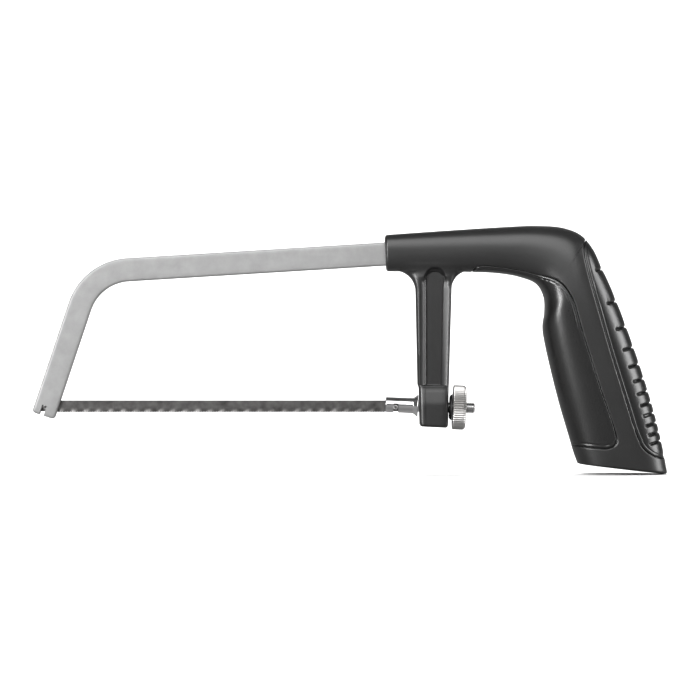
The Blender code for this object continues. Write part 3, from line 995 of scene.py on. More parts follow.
@dataclass
class TensionScrew:
    """The slotted rod that holds the blade, its washer and its nut, all on one dipping axis.

    Attributes:
        place: Where the axis passes the boss, X and Z. Lengths along the axis count from here.
        dip: The axis's dip towards the grip, in degrees.
        start: Where the holder starts.
        radius: The holder's radius.
        barrel_end: Where the holder starts to flare.
        flare: The flange's radius.
        flange: Where the flange's straight rim starts and ends.
        slit: The width of the slit that the blade lies in.
        slit_end: Where the slit ends.
        notch: The width of the notch that holds the rear pin.
        notch_at: Where the notch's middle is.
        notch_top: How far the notch reaches above the axis.
        shank_side: The square shank's side.
        shank_end: Where the shank ends.
        stud: The stud's radius.
        stud_end: Where the stud ends.
        thread: The stud's pitch.
        thread_depth: How deep the thread is cut.
        washer: Where the washer starts and ends.
        washer_radii: Its radii there.
        bore: The radius of the washer's and the nut's bore.
        nut: Where the nut starts and ends.
        nut_radius: Its radius.
        nut_chamfer: The chamfer of its outer rim.
        ridges: How many ridges the nut's rim has.
        ridge_depth: How deep the ridges are cut.
    """

    place: tuple[float, float] = (35.5, -24.3)
    dip: float = 2.3
    start: float = -20.4
    radius: float = 3.3
    barrel_end: float = -8.6
    flare: float = 4.7
    flange: tuple[float, float] = (-6.85, -6.6)
    slit: float = 1.2
    slit_end: float = -10.6
    notch: float = 2.0
    notch_at: float = -15.95
    notch_top: float = 0.75
    shank_side: float = 5.0
    shank_end: float = 5.7
    stud: float = 2.4
    stud_end: float = 17.75
    thread: float = 0.8
    thread_depth: float = 0.42
    washer: tuple[float, float] = (6.8, 7.9)
    washer_radii: tuple[float, float] = (4.8, 5.7)
    bore: float = 2.75
    nut: tuple[float, float] = (8.2, 13.9)
    nut_radius: float = 9.5
    nut_chamfer: float = 0.9
    ridges: int = 58
    ridge_depth: float = 0.4

    def axis(self) -> Matrix:
        """The turn and shift that carry a piece from the X axis to the screw's axis."""
        x, z = self.place
        return Matrix.Translation((x, 0.0, z)) @ Matrix.Rotation(math.radians(self.dip), 4, "Y")

    def rod(self, shop: Workshop, relief: bpy.types.NodeTree) -> bpy.types.Object:
        """The holder with its slit and notch, the square shank and the threaded stud.

        Args:
            shop: Where the finish comes from.
            relief: The tree that cuts the thread.

        Returns:
            The rod, in its place.
        """
        core = 0.02
        rim_start, rim_end = self.flange
        holder = [(self.start, core), (self.start, self.radius), (self.barrel_end, self.radius)]
        holder += [(rim_start, self.flare), (rim_end, self.flare), (rim_end, core)]
        rod = turned("tension_screw", eased(holder, 0.35, 4), 96)
        shank_start = rim_end - PASSING
        middle = (self.shank_end + shank_start) / 2
        size = (self.shank_end - shank_start, self.shank_side, self.shank_side)
        combine(rod, box("shank", (middle, 0.0, 0.0), size), Cut.ADD)
        chamfer = 0.5
        first = self.shank_end - chamfer
        stud = [(first, core), (first, self.stud), (self.stud_end - chamfer, self.stud)]
        stud += [(self.stud_end, self.stud - chamfer), (self.stud_end, core)]
        threaded = turned("stud", lengthened(stud, first, self.stud_end, self.thread / 10), 48, 60.0)
        values = {
            "Ridges": 1.0,
            "Winding": 1 / (self.thread * MM),
            "Depth": self.thread_depth * MM,
            "Start": (self.shank_end + 0.2) * MM,
            "End": (self.stud_end + 0.4) * MM,
            "Rim": self.stud / 2 * MM,
            "Material": shop.material(ROD_CHROME),
        }
        run_tree(threaded, relief, values)
        combine(rod, threaded, Cut.ADD)
        across = 2 * self.radius + PASSING
        slit_start, foot = self.start - PASSING, -self.radius - PASSING
        size = (self.slit_end - slit_start, self.slit, across)
        combine(rod, box("slit", ((slit_start + self.slit_end) / 2, 0.0, 0.0), size), Cut.TAKE)
        size = (self.notch, across, self.notch_top - foot)
        combine(rod, box("notch", (self.notch_at, 0.0, (self.notch_top + foot) / 2), size), Cut.TAKE)
        tidy(rod, 32.0, 0.001)
        return moved(rod, self.axis())

    def ring_piece(self) -> bpy.types.Object:
        """The tapered washer.

        Returns:
            The washer, in its place.
        """
        (left, right), (small, large) = self.washer, self.washer_radii
        profile = [(left, self.bore), (left, small), (right, large), (right, self.bore)]
        round_profile = eased([*profile, profile[0]], 0.25, 3)[1:-1]
        return moved(turned("washer_ring", round_profile, 96), self.axis())

    def nut_piece(self, shop: Workshop, relief: bpy.types.NodeTree) -> bpy.types.Object:
        """The round nut with its straight ridges.

        Args:
            shop: Where the finish comes from.
            relief: The tree that cuts the ridges.

        Returns:
            The nut, in its place.
        """
        left, right = self.nut
        radius, chamfer, bore = self.nut_radius, self.nut_chamfer, self.bore
        face = right - 0.35
        profile = [(left, bore + 0.4), (left, radius - 0.5), (left + 0.4, radius)]
        profile += [(right - chamfer, radius), (right, radius - chamfer), (right, 6.4), (face, 5.9)]
        profile += [(face, bore + 0.5), (right - 0.9, bore), (left + 0.4, bore)]
        line = lengthened(eased(profile, 0.3, 3), left, right, 0.35)
        nut = turned("knurled_nut", line, self.ridges * 8, 38.0)
        values = {
            "Ridges": float(self.ridges),
            "Winding": 0.0,
            "Depth": self.ridge_depth * MM,
            "Start": (left - 0.1) * MM,
            "End": (right + 0.1) * MM,
            "Rim": (radius - chamfer - 0.15) * MM,
            "Material": shop.material(NUT_NICKEL),
        }
        run_tree(nut, relief, values)
        tidy(nut, 38.0, 0.0005)
        return moved(nut, self.axis())

    def build(self, shop: Workshop) -> None:
        """Makes the rod, the washer and the nut.

        Args:
            shop: Where the finishes come from.
        """
        relief = relief_tree()
        shop.deliver(self.rod(shop, relief), ROD_CHROME, Body.ROD, "tension_rod")
        shop.deliver(self.ring_piece(), WASHER_BLACK, Body.FIXED, "thrust_washer")
        shop.deliver(self.nut_piece(shop, relief), NUT_NICKEL, Body.NUT, "thumb_nut")


# ---------------------------------------------------------------- the handle

# Sections along the sleeve, beam and grip: the X and Z of the outer edge, the X and Z of the inner edge, half
# the thickness, and how square the section is, with 2 for an ellipse.
SECTIONS = (
    (14.7, 49.0, 15.3, 33.4, 6.8, 2.9),
    (30.0, 50.1, 30.0, 33.3, 7.2, 2.7),
    (48.0, 51.3, 48.0, 33.2, 8.0, 2.6),
    (64.0, 52.3, 63.0, 32.6, 8.8, 2.5),
    (79.0, 52.9, 73.0, 30.8, 9.8, 2.6),
    (90.5, 52.1, 79.7, 27.8, 10.9, 2.5),
    (98.3, 49.1, 82.6, 22.4, 11.8, 2.4),
    (103.4, 43.4, 82.9, 16.0, 12.4, 2.3),
    (107.4, 35.2, 82.1, 10.0, 12.8, 2.3),
    (112.0, 25.0, 82.9, 3.6, 13.0, 2.3),
    (117.1, 12.0, 85.6, -8.6, 13.0, 2.3),
    (123.9, -7.4, 89.3, -23.2, 13.0, 2.3),
    (128.8, -23.3, 92.6, -34.4, 12.8, 2.4),
    (132.7, -38.6, 95.4, -43.8, 12.6, 2.5),
    (135.5, -53.1, 97.2, -48.7, 12.4, 2.6),
)
# Where the inserts end on the grip's sides, X and Z, each from where it comes over the grip's edge at the
# top.
PALM_LINE = (
    (101.6, 48.6), (99.6, 45.6), (99.3, 41.0), (101.7, 29.4), (105.9, 14.2), (110.3, -1.2), (117.4, -24.2),
    (121.4, -36.4), (124.4, -42.2), (129.6, -45.6), (138.0, -46.8),
)
FINGER_LINE = (
    (50.0, 31.0), (54.0, 35.0), (66.0, 34.6), (79.3, 31.8), (88.4, 29.0), (93.9, 22.3), (98.4, 7.8),
    (105.2, -13.6), (112.3, -35.0), (112.9, -39.6), (109.8, -41.9), (102.1, -41.8), (90.0, -40.2),
)


@dataclass
class GripSkin:
    """The handle's outer surface, by the distance along it and the angle round a section.

    Angle 0 is the outer edge, pi the inner edge, and angles between them lie on the +Y side.

    Attributes:
        rows: The smoothed sections.
        lengths: How far along the handle each of them lies.
    """

    rows: np.ndarray = field(init=False)
    lengths: np.ndarray = field(init=False)

    def __post_init__(self) -> None:
        """Smooths the sections and measures along them."""
        self.rows = smooth_line(SECTIONS, 60)
        steps = np.linalg.norm(np.diff(self.rows[:, :4], axis=0), axis=1)
        self.lengths = np.concatenate(([0.0], np.cumsum(steps)))

    def section(self, at: np.ndarray) -> list[np.ndarray]:
        """The six numbers of the sections at some lengths."""
        return [np.interp(at, self.lengths, self.rows[:, k]) for k in range(6)]

    def points(self, at: np.ndarray, angle: np.ndarray, inset: float = 0.0) -> np.ndarray:
        """Places on the surface.

        Args:
            at: Lengths along the handle.
            angle: Angles round the section.
            inset: How far inside the surface the places are.

        Returns:
            Rows of X, Y and Z.
        """
        outer_x, outer_z, inner_x, inner_z, thick, square = self.section(at)
        power = 2 / square
        half_x, half_z = (outer_x - inner_x) / 2, (outer_z - inner_z) / 2
        shrink = 1 - inset / np.hypot(half_x, half_z)
        along = raised(np.cos(angle), power) * shrink
        aside = raised(np.sin(angle), power) * (thick - inset)
        x = (outer_x + inner_x) / 2 + half_x * along
        z = (outer_z + inner_z) / 2 + half_z * along
        return np.stack((x, aside, z), axis=-1)

    def squareness(self, at: np.ndarray) -> np.ndarray:
        """How square the sections at some lengths are."""
        return np.interp(at, self.lengths, self.rows[:, 5])

    def angle_of(self, at: np.ndarray, across: np.ndarray) -> np.ndarray:
        """The angle of places across the section, from -1 at the inner edge to 1 at the outer."""
        return np.arccos(raised(np.clip(across, -1.0, 1.0), self.squareness(at) / 2))

    def ring(self, at: float, angle: np.ndarray, inset: float = 0.0) -> np.ndarray:
        """The points of one ring, all at the same length."""
        return self.points(np.full(len(angle), at), angle, inset)

    def locate(self, line: np.ndarray) -> tuple[np.ndarray, np.ndarray]:
        """Finds places seen from the side.

        Args:
            line: Rows of X and Z.

        Returns:
            The length along the handle of each, and its place across the section.
        """
        inner, outer = self.rows[:, 2:4], self.rows[:, :2]
        reach = outer - inner
        gap = line[:, None, :] - inner[None]
        side = reach[None, :, 0] * gap[..., 1] - reach[None, :, 1] * gap[..., 0]
        last = np.argmax(side > 0, axis=1)
        last = np.clip(last, 1, len(inner) - 1)
        each = np.arange(len(line))
        before, after = side[each, last - 1], side[each, last]
        share = np.clip(before / (before - after), 0.0, 1.0)
        at = self.lengths[last - 1] + share * (self.lengths[last] - self.lengths[last - 1])
        outer_x, outer_z, inner_x, inner_z, _, _ = self.section(at)
        span_x, span_z = outer_x - inner_x, outer_z - inner_z
        along = ((line[:, 0] - inner_x) * span_x + (line[:, 1] - inner_z) * span_z) / (span_x**2 + span_z**2)
        return at, 2 * along - 1


@dataclass
class Zone:
    """What an insert covers, on either side of the grip.

    Attributes:
        grip: The grip's surface.
        line: Where the insert ends, X and Z.
        edge: 1 for an insert over the outer edge, -1 for one over the inner edge.
        corner: Which point of the line starts its level foot.
        foot: The length along the handle where the insert's foot lies.
        top: The length where its upper tip lies.
        foot_at: The lengths of the foot's points, before they are made level.
        foot_across: Their places across the section, rising.
        side_at: The lengths of the side's points, rising.
        side_across: Their places across the section.
        tree: All the border's points, for measuring from.
    """

    grip: GripSkin
    line: tuple
    edge: int
    corner: int
    foot: float = field(init=False)
    top: float = field(init=False)
    foot_at: np.ndarray = field(init=False)
    foot_across: np.ndarray = field(init=False)
    side_at: np.ndarray = field(init=False)
    side_across: np.ndarray = field(init=False)
    tree: KDTree = field(init=False)

    def __post_init__(self) -> None:
        """Finds the line on the surface, with its foot made level by a warp."""
        steps = 40
        at, across = self.grip.locate(smooth_line(self.line, steps))
        inside = np.abs(across) <= 1.0
        at, across = at[inside], across[inside]
        start = min(self.corner * steps - int(np.argmax(inside)), int(np.argmax(at)))
        order = np.argsort(across[start:])
        self.foot_at, self.foot_across = at[start:][order], across[start:][order]
        self.foot = float(np.mean(self.foot_at))
        self.top = float(at[0])
        side_at, side_across = at[: start + 1], across[: start + 1]
        level = side_at - self.bump(side_at) * self.shift(side_across)
        rising = np.minimum(np.maximum.accumulate(level), self.foot)
        keep = np.concatenate(([True], np.diff(rising) > 1e-6))
        self.side_at, self.side_across = rising[keep], side_across[keep]
        self.side_at[-1] = self.foot
        places = self.grip.points(at, self.grip.angle_of(at, across))
        self.tree = KDTree(len(places))
        for k, place in enumerate(places):
            self.tree.insert(place, k)
        self.tree.balance()

    def bump(self, at: np.ndarray) -> np.ndarray:
        """How much of the warp holds at a length: all of it at the foot, none a little way off."""
        return 1 - smooth_step(np.abs(np.asarray(at) - self.foot), 0.4, 3.4)

    def shift(self, across: np.ndarray) -> np.ndarray:
        """How far the foot lies from its mean length, at places across the section."""
        return np.interp(across, self.foot_across, self.foot_at) - self.foot

    def border(self, at: float) -> float:
        """The place across the section where the insert ends, at a length before the warp."""
        return float(np.interp(at, self.side_at, self.side_across))

    def holds(self, at: float) -> bool:
        """Whether the insert reaches this length."""
        return self.top < at < self.foot

    def distances(self, places: np.ndarray) -> np.ndarray:
        """How far each place is from the insert's border, either side alike."""
        flat = np.abs(places.reshape(-1, 3) * (0, 1, 0)) + places.reshape(-1, 3) * (1, 0, 1)
        return np.array([self.tree.find(p)[2] for p in flat]).reshape(places.shape[:-1])


@dataclass
class Handle:
    """The moulded handle: sleeve, beam and grip in one sweep, the post with its boss, and the two inserts.

    Attributes:
        bed: The depth of the beds that the inserts lie in.
        groove: How wide the groove round an insert is.
        columns: How many steps a ring's palm, middle and finger stretches have.
        mouth_x: The X of the sleeve's mouth, on the bar's middle line.
        mouth_gap: The gap between the bar and the mouth.
        sleeve_edge: The rounding of the sleeve's end.
        butt_edge: The rounding of the butt.
        post_half: Half the post's thickness.
        post_left: The X of its left side at the beam and at the boss.
        post_right: The same for its right side.
        post_fillets: The radii of its left and right fillets under the beam.
        post_top: The Z of the beam's underside.
        boss_top: The Z where the boss starts.
        boss_half: Half the boss's thickness.
        boss_left: The X of its left side at its top and its foot.
        boss_right: The same for its right side.
        boss_foot: The Z of its foot on the left and on the right.
        panel_depth: The recess's depth.
        panel_top: The X, Z and half width of the top of the recess's floor.
        panel_foot: The same for the floor's foot.
        panel_arch: How far the floor's top corners lie below its crown.
        panel_step: The height of the step round the floor.
        rim: How much of the post's side is left outside the recess.
        boss_slope: How fast the boss thins upwards from the screw's axis.
        foot_edge: The rounding of the boss's foot.
        rib_first: The Z of the first cross groove.
        rib_last_gap: The gap that the cross grooves' gaps shrink towards.
        rib_extra_gap: How much wider the first gap is, before it shrinks.
        rib_slope: The slope of the grip from upright, in degrees.
        rib_shrink: How much of the extra gap each next one keeps.
        rib_count: How many cross grooves there are.
        grip: The handle's surface.
        palm: What the palm insert covers.
        finger: What the finger insert covers.
        ribs: The cross grooves' distances down the grip's slope.
    """

    bed: float = 1.3
    groove: float = 0.28
    columns: tuple[int, int, int] = (20, 24, 20)
    mouth_x: float = 15.0
    mouth_gap: float = 0.25
    sleeve_edge: float = 1.5
    butt_edge: float = 1.2
    post_half: float = 5.85
    post_left: tuple[float, float] = (27.7, 28.7)
    post_right: tuple[float, float] = (43.5, 42.1)
    post_fillets: tuple[float, float] = (8.6, 7.6)
    post_top: float = 33.6
    boss_top: float = -15.5
    boss_half: float = 7.0
    boss_left: tuple[float, float] = (29.2, 29.6)
    boss_right: tuple[float, float] = (42.05, 41.7)
    boss_foot: tuple[float, float] = (-32.8, -33.3)
    panel_depth: float = 2.4
    panel_top: tuple[float, float, float] = (36.1, 33.2, 3.4)
    panel_foot: tuple[float, float, float] = (35.6, -14.9, 2.8)
    panel_arch: float = 1.6
    panel_step: float = 0.4
    rim: float = 0.8
    boss_slope: float = 0.16
    foot_edge: float = 1.3
    rib_first: float = 34.7
    rib_last_gap: float = 3.4
    rib_extra_gap: float = 14.4
    rib_slope: float = 15.5
    rib_shrink: float = 0.72
    rib_count: int = 12
    grip: GripSkin = field(init=False)
    palm: Zone = field(init=False)
    finger: Zone = field(init=False)
    ribs: np.ndarray = field(init=False)

    def __post_init__(self) -> None:
        """Lays out the surface and the inserts' borders."""
        self.grip = GripSkin()
        self.palm = Zone(self.grip, PALM_LINE, 1, 9)
        self.finger = Zone(self.grip, FINGER_LINE, -1, 10)
        self.ribs = self.rib_lengths()

    def rib_lengths(self) -> np.ndarray:
        """Where the palm insert's cross grooves lie.

        Returns:
            Distances down the grip's slope.
        """
        heights = [self.rib_first]
        for k in range(self.rib_count - 1):
            extra = self.rib_extra_gap * self.rib_shrink ** (k + 1)
            heights.append(heights[-1] - self.rib_last_gap - extra)
        falling = self.grip.rows[int(np.argmax(self.grip.rows[:, 1])) :, :2]
        edge_x = np.interp(heights, falling[::-1, 1], falling[::-1, 0])
        return self.down(edge_x, np.array(heights))

    def down(self, x: np.ndarray, z: np.ndarray) -> np.ndarray:
        """How far down the grip's own slope a place lies."""
        slope = math.radians(self.rib_slope)
        return x * math.sin(slope) - z * math.cos(slope)

    def stops(self) -> np.ndarray:
        """The lengths of the rings, closer together where something ends.

        Returns:
            The lengths, rising.
        """
        fine = []
        for mark in (self.palm.foot, self.finger.foot):
            for step in (0.04, 0.13, 0.25, 0.4, 0.6, 0.85, 1.15, 1.5):
                fine += [mark - step, mark + step]
        coarse, at = [], self.sleeve_edge
        top, start = self.palm.top, self.finger.top
        while at < self.grip.lengths[-1] - self.butt_edge - 0.1:
            coarse.append(at)
            step = 0.75 if at < start - 6 else 0.55
            if at > top - 4:
                step = 0.4
            if min(abs(at - top), abs(at - start)) < 4:
                step = 0.22
            at += step
        coarse = [c for c in coarse if min(abs(c - f) for f in fine) > 0.2]
        return np.array(sorted([*coarse, *fine]))

    def measured(self, at: float, angle: np.ndarray) -> np.ndarray:
        """How far round a section some angles lie, counted from the first."""
        steps = np.linalg.norm(np.diff(self.grip.ring(at, angle), axis=0), axis=1)
        return np.concatenate(([0.0], np.cumsum(steps)))

    def angles(self, at: float) -> tuple[np.ndarray, int, int]:
        """The columns of one ring on the +Y side, from the outer edge to the inner.

        Args:
            at: The ring's length along the handle.

        Returns:
            The angles, and which columns are the borders of the palm and the finger insert.
        """
        dense = np.linspace(0.0, math.pi, 721)
        run = self.measured(at, dense)
        total = run[-1]
        palm, finger = self.stretch(self.palm, at, dense, run), self.stretch(self.finger, at, dense, run)
        palm = min(max(palm, 0.12), total * 0.6)
        finger = max(min(finger, total - 0.12), palm + 1.0)
        first, second, third = self.columns
        outer = spread(0.0, palm, first, 0.0, 0.85)[:-1]
        middle = spread(palm, finger, second, 0.88, 0.88)[:-1]
        inner = spread(finger, total, third, 0.85, 0.0)
        return np.interp(np.concatenate((outer, middle, inner)), run, dense), first, first + second

    def whole(self, half: np.ndarray) -> np.ndarray:
        """The angles of one side carried round the other side too."""
        return np.concatenate((half, -half[-2:0:-1]))

    def stretch(self, zone: Zone, at: float, dense: np.ndarray, run: np.ndarray) -> float:
        """How far round the section, from the outer edge, an insert's border lies.

        Args:
            zone: What the insert covers.
            at: The section's length along the handle.
            dense: Angles from the outer edge to the inner.
            run: How far round the section they lie.

        Returns:
            The distance. Above the insert it runs softly out to the edge of the insert's side.
        """
        if at < zone.top:
            ramp = min(7.0, 0.6 * (zone.top - at))
            return ramp if zone.edge > 0 else run[-1] - ramp
        border = zone.border(min(at, zone.foot))
        return float(np.interp(self.grip.angle_of(at, border), dense, run))

    def warped(self, at: float, angle: np.ndarray) -> np.ndarray:
        """The true lengths of a ring's points, bent so that the feet of the inserts fall on rings.

        Args:
            at: The ring's length along the handle.
            angle: The points' angles.

        Returns:
            The length of each point.
        """
        across = raised(np.cos(angle), 2 / self.grip.squareness(at))
        warp = sum(zone.shift(across) * float(zone.bump(at)) for zone in (self.palm, self.finger))
        return np.clip(at + warp, 0.0, self.grip.lengths[-1])

    def body_rings(self) -> np.ndarray:
        """The rings of the moulding, sunk where the inserts lie.

        Returns:
            The rings between its rounded ends.
        """
        outers, beds, sunk = [], [], []
        for at in self.stops():
            half, palm, finger = self.angles(at)
            angle = self.whole(half)
            true = self.warped(at, angle)
            columns = np.arange(len(half))
            covered = (columns < palm) & self.palm.holds(at) | (columns > finger) & self.finger.holds(at)
            outers.append(self.grip.points(true, angle))
            beds.append(self.grip.points(true, angle, self.bed))
            sunk.append(np.concatenate((covered, covered[-2:0:-1])))
        outer, bed = np.array(outers), np.array(beds)
        away = np.minimum(self.palm.distances(outer), self.finger.distances(outer))
        lip_width, lip_depth = 0.5, 0.3
        lip = np.clip(1 - away / lip_width, 0.0, 1.0) ** 2 * lip_depth
        share = np.where(np.array(sunk), 1.0, lip)[..., None]
        return outer * (1 - share) + bed * share

    def rounding(self, angle: np.ndarray, end: float, edge: float) -> list[np.ndarray]:
        """Rings that round off one end of the sweep.

        Args:
            angle: The angles of a ring's points.
            end: The length of the end's face.
            edge: The rounding, negative where the sweep lies before the face.

        Returns:
            The rings, from the face to the full section.
        """
        steps = 6
        turns = [math.pi / 2 * k / steps for k in range(steps + 1)]
        return [
            self.grip.ring(end + edge * (1 - math.cos(turn)), angle, abs(edge) * (1 - math.sin(turn)))
            for turn in turns
        ]

    def ends(self, rings: np.ndarray) -> np.ndarray:
        """Rounds off both ends, with a mouth for the bar in the sleeve.

        Args:
            rings: The rings between the ends.

        Returns:
            All the rings.
        """
        total = self.grip.lengths[-1]
        angle = self.whole(self.angles(0.9)[0])
        mouth = self.rounding(angle, 0.0, self.sleeve_edge)
        deep, slot = self.mouth_ring(angle, 3.0), self.mouth_ring(angle, 0.0)
        middle = mouth[0] * 0.5 + slot * 0.5
        angle = self.whole(self.angles(float(self.stops()[-1]))[0])
        butt = self.rounding(angle, total, -self.butt_edge)[::-1]
        inner, core = (self.grip.ring(total, angle, self.butt_edge + inset) for inset in (2.0, 6.0))
        return np.concatenate(([deep, slot, middle], mouth[:-1], rings, butt[1:], [inner, core]))

    def mouth_ring(self, angle: np.ndarray, depth: float) -> np.ndarray:
        """A ring of the mouth round the bar.

        Args:
            angle: The angles of its points.
            depth: How far inside the sleeve's end it lies.

        Returns:
            Rows of X, Y and Z.
        """
        bow = BowFrame()
        slope = math.radians(bow.slope)
        centre_x = self.mouth_x + depth * math.cos(slope)
        centre_z = bow.corner[1] + (centre_x - bow.corner[0]) * math.tan(slope)
        along = raised(np.cos(angle), 0.3) * (bow.width / 2 + self.mouth_gap)
        aside = raised(np.sin(angle), 0.3) * (bow.thickness / 2 + self.mouth_gap)
        x, z = centre_x - along * math.sin(slope), centre_z + along * math.cos(slope)
        return np.column_stack((x, aside, z))

    def post(self) -> bpy.types.Object:
        """The post and its boss, with a recess in either side.

        Returns:
            The post, with a square passage for the screw.
        """
        foot = min(self.boss_foot)
        rounded = foot + self.foot_edge * (1 - np.sin(np.linspace(0.1, math.pi / 2, 9)))
        stretches = (
            (41.0, 37.0, 6),
            (36.8, 31.0, 34),
            (30.6, -12.2, 38),
            (-12.7, -20.0, 44),
            (-20.4, foot + 1.6, 22),
        )
        marks = np.concatenate([*(np.linspace(*stretch) for stretch in stretches), rounded])
        rings = [self.post_ring(float(z)) for z in marks]
        post = skin("post", np.array(rings), 50.0)
        screw = TensionScrew()
        side = screw.shank_side + 0.6
        passage = box("passage", (0.0, 0.0, 0.0), (30.0, side, side))
        return combine(post, moved(passage, screw.axis()), Cut.TAKE)

    def post_ring(self, z: float) -> np.ndarray:
        """One level ring of the post or the boss.

        Args:
            z: The ring's height.

        Returns:
            Rows of X, Y and Z.
        """
        left, right = self.post_edges(z)
        boss = float(smooth_step(-z, 14.9, 18.4))
        bend, bend_z = 0.4, TensionScrew().place[1] + 1.2
        barrel = self.boss_half - self.boss_slope * bend * math.log1p(math.exp((z - bend_z) / bend))
        half = self.post_half + (barrel - self.post_half) * boss
        post_square, beam_square = 8.0, 2.6
        square = post_square + (beam_square - post_square) * float(smooth_step(z, 25.5, 33.4))
        close = min(1.0, max(0.0, (z - min(self.boss_foot)) / self.foot_edge))
        drawn = 1.0 - math.sqrt(1 - (1 - close) ** 2)
        half -= drawn
        left, right = left + drawn, right - drawn
        middle, reach = (left + right) / 2, (right - left) / 2
        across = self.post_columns(z, middle, reach, square)
        x = middle + reach * across
        y = half * (1 - np.abs(across) ** square) ** (1 / square)
        if z > self.post_top - 2.0:
            y = self.met_beam(x, z, y)
        y = np.maximum(y - self.recess(x, z, left, right), 0.0)
        lowered = float(smooth_step(-z, 25.0, 33.0))
        tilt = (self.boss_foot[1] - self.boss_foot[0]) * lowered * (across - 1) / 2
        front = np.column_stack((x, -y, z + tilt))
        return np.concatenate((front, front[-2:0:-1] * (1, -1, 1)))

    def met_beam(self, x: np.ndarray, z: float, y: np.ndarray) -> np.ndarray:
        """The post's half thickness near the beam, where it runs softly out into the beam's own side.

        Args:
            x: Places along a level ring.
            z: The ring's height.
            y: The post's own half thickness there.

        Returns:
            The half thickness at each place.
        """
        at, across = self.grip.locate(np.column_stack((x, np.full_like(x, z))))
        beam = self.grip.points(at, self.grip.angle_of(at, across))[:, 1]
        beam = np.where(np.abs(across) < 1.0, beam, 0.0)
        y = y * (1 - float(smooth_step(z, 36.0, 41.0)))
        power = 7.0
        sunk = 0.04 * float(smooth_step(z, self.post_top - 1.0, self.post_top + 1.5))
        return (y**power + beam**power) ** (1 / power) - sunk

    def post_edges(self, z: float) -> tuple[float, float]:
        """The post's left and right edge at a height.

        Args:
            z: The height.

        Returns:
            The X of both edges.
        """
        down = (self.post_top - z) / (self.post_top - self.boss_top)
        boss_down = (self.boss_top - z) / (self.boss_top - min(self.boss_foot))
        boss = float(smooth_step(-z, 14.6, 16.4))
        edges = []
        posts, bosses = (self.post_left, self.post_right), (self.boss_left, self.boss_right)
        for post, joined, radius, outward in zip(posts, bosses, self.post_fillets, (-1, 1)):
            up = min(z, self.post_top) - (self.post_top - radius)
            out = radius - math.sqrt(max(0.0, radius**2 - up**2)) if up > 0 else 0.0
            edge = post[0] + (post[1] - post[0]) * down + outward * out
            boss_edge = joined[0] + (joined[1] - joined[0]) * boss_down
            edges.append(edge + (boss_edge - edge) * boss)
        return edges[0], edges[1]

    def post_columns(self, z: float, middle: float, reach: float, square: float) -> np.ndarray:
        """Places across a ring of the post, close together at its edges and at the recess.

        Args:
            z: The ring's height.
            middle: The X of the ring's middle.
            reach: Half its width.
            square: How square it is.

        Returns:
            Places from -1 at the left edge to 1 at the right.
        """
        centre, half = self.panel_at(z)
        low, high = (centre - half - middle) / reach, (centre + half - middle) / reach
        flat, margin = 0.55, 1.3 / reach
        rises = np.sin(np.linspace(0.0, math.pi / 2, 12)) * (1 - flat**square) ** (1 / square)
        corner = (1 - rises**square) ** (1 / square)
        beads = np.linspace(1.1, 0.15, 7) / reach
        left_flat = np.concatenate((np.linspace(-corner[-1], low - margin, 14)[1:], low - beads))
        right_flat = np.concatenate((high + beads[::-1], np.linspace(high + margin, corner[-1], 14)[:-1]))
        inner = spread(low, high, 16, 0.7, 0.7)
        return np.concatenate((-corner, left_flat, inner, right_flat, corner[::-1]))

    def panel_at(self, z: float) -> tuple[float, float]:
        """The recess's floor at a height.

        Args:
            z: The height.

        Returns:
            The X of its middle, and half its width.
        """
        (top_x, top_z, top_half), (foot_x, foot_z, foot_half) = self.panel_top, self.panel_foot
        share = min(1.0, max(0.0, (z - foot_z) / (top_z - foot_z)))
        return foot_x + (top_x - foot_x) * share, foot_half + (top_half - foot_half) * share

    def recess(self, x: np.ndarray, z: float, left: float, right: float) -> np.ndarray:
        """The recess's depth on the post's side: a flat floor, a small step round it and wide sloping walls.

        Args:
            x: Places along a level ring.
            z: The ring's height.
            left: The post's left edge there.
            right: Its right edge.

        Returns:
            The depth at each place.
        """
        narrow, wide, wide_above = 1.0, 3.4, 2.3
        bead_height, bead_at, bead_width = 0.32, 0.5, 0.22
        foot_steepness, step_width = 5.0, 0.25
        centre, half = self.panel_at(z)
        aside = np.abs(x - centre) - half
        crown = self.panel_top[1] - self.panel_arch * np.minimum(1.4, np.abs(x - centre) / half) ** 2.5
        above = z - crown
        below = (self.panel_foot[1] - z) * foot_steepness
        out = np.hypot(np.maximum(aside, 0.0), np.maximum(above, 0.0))
        out = np.maximum(out, below)
        wall = np.where(x < centre, centre - half - left, right - centre - half) - self.rim
        wall = np.clip(wall, narrow, wide)
        wall = np.where(above > 0, np.minimum(wall, wide_above), wall)
        slope = 1 - smooth_step(out / wall, 0.0, 1.0)
        step = 1 - np.clip(out / step_width, 0.0, 1.0)
        bead = bead_height * np.exp(-(((out - bead_at) / bead_width) ** 2))
        sides = np.where(out < wall, slope, 0.0)
        return (self.panel_depth - self.panel_step) * sides + self.panel_step * step - bead

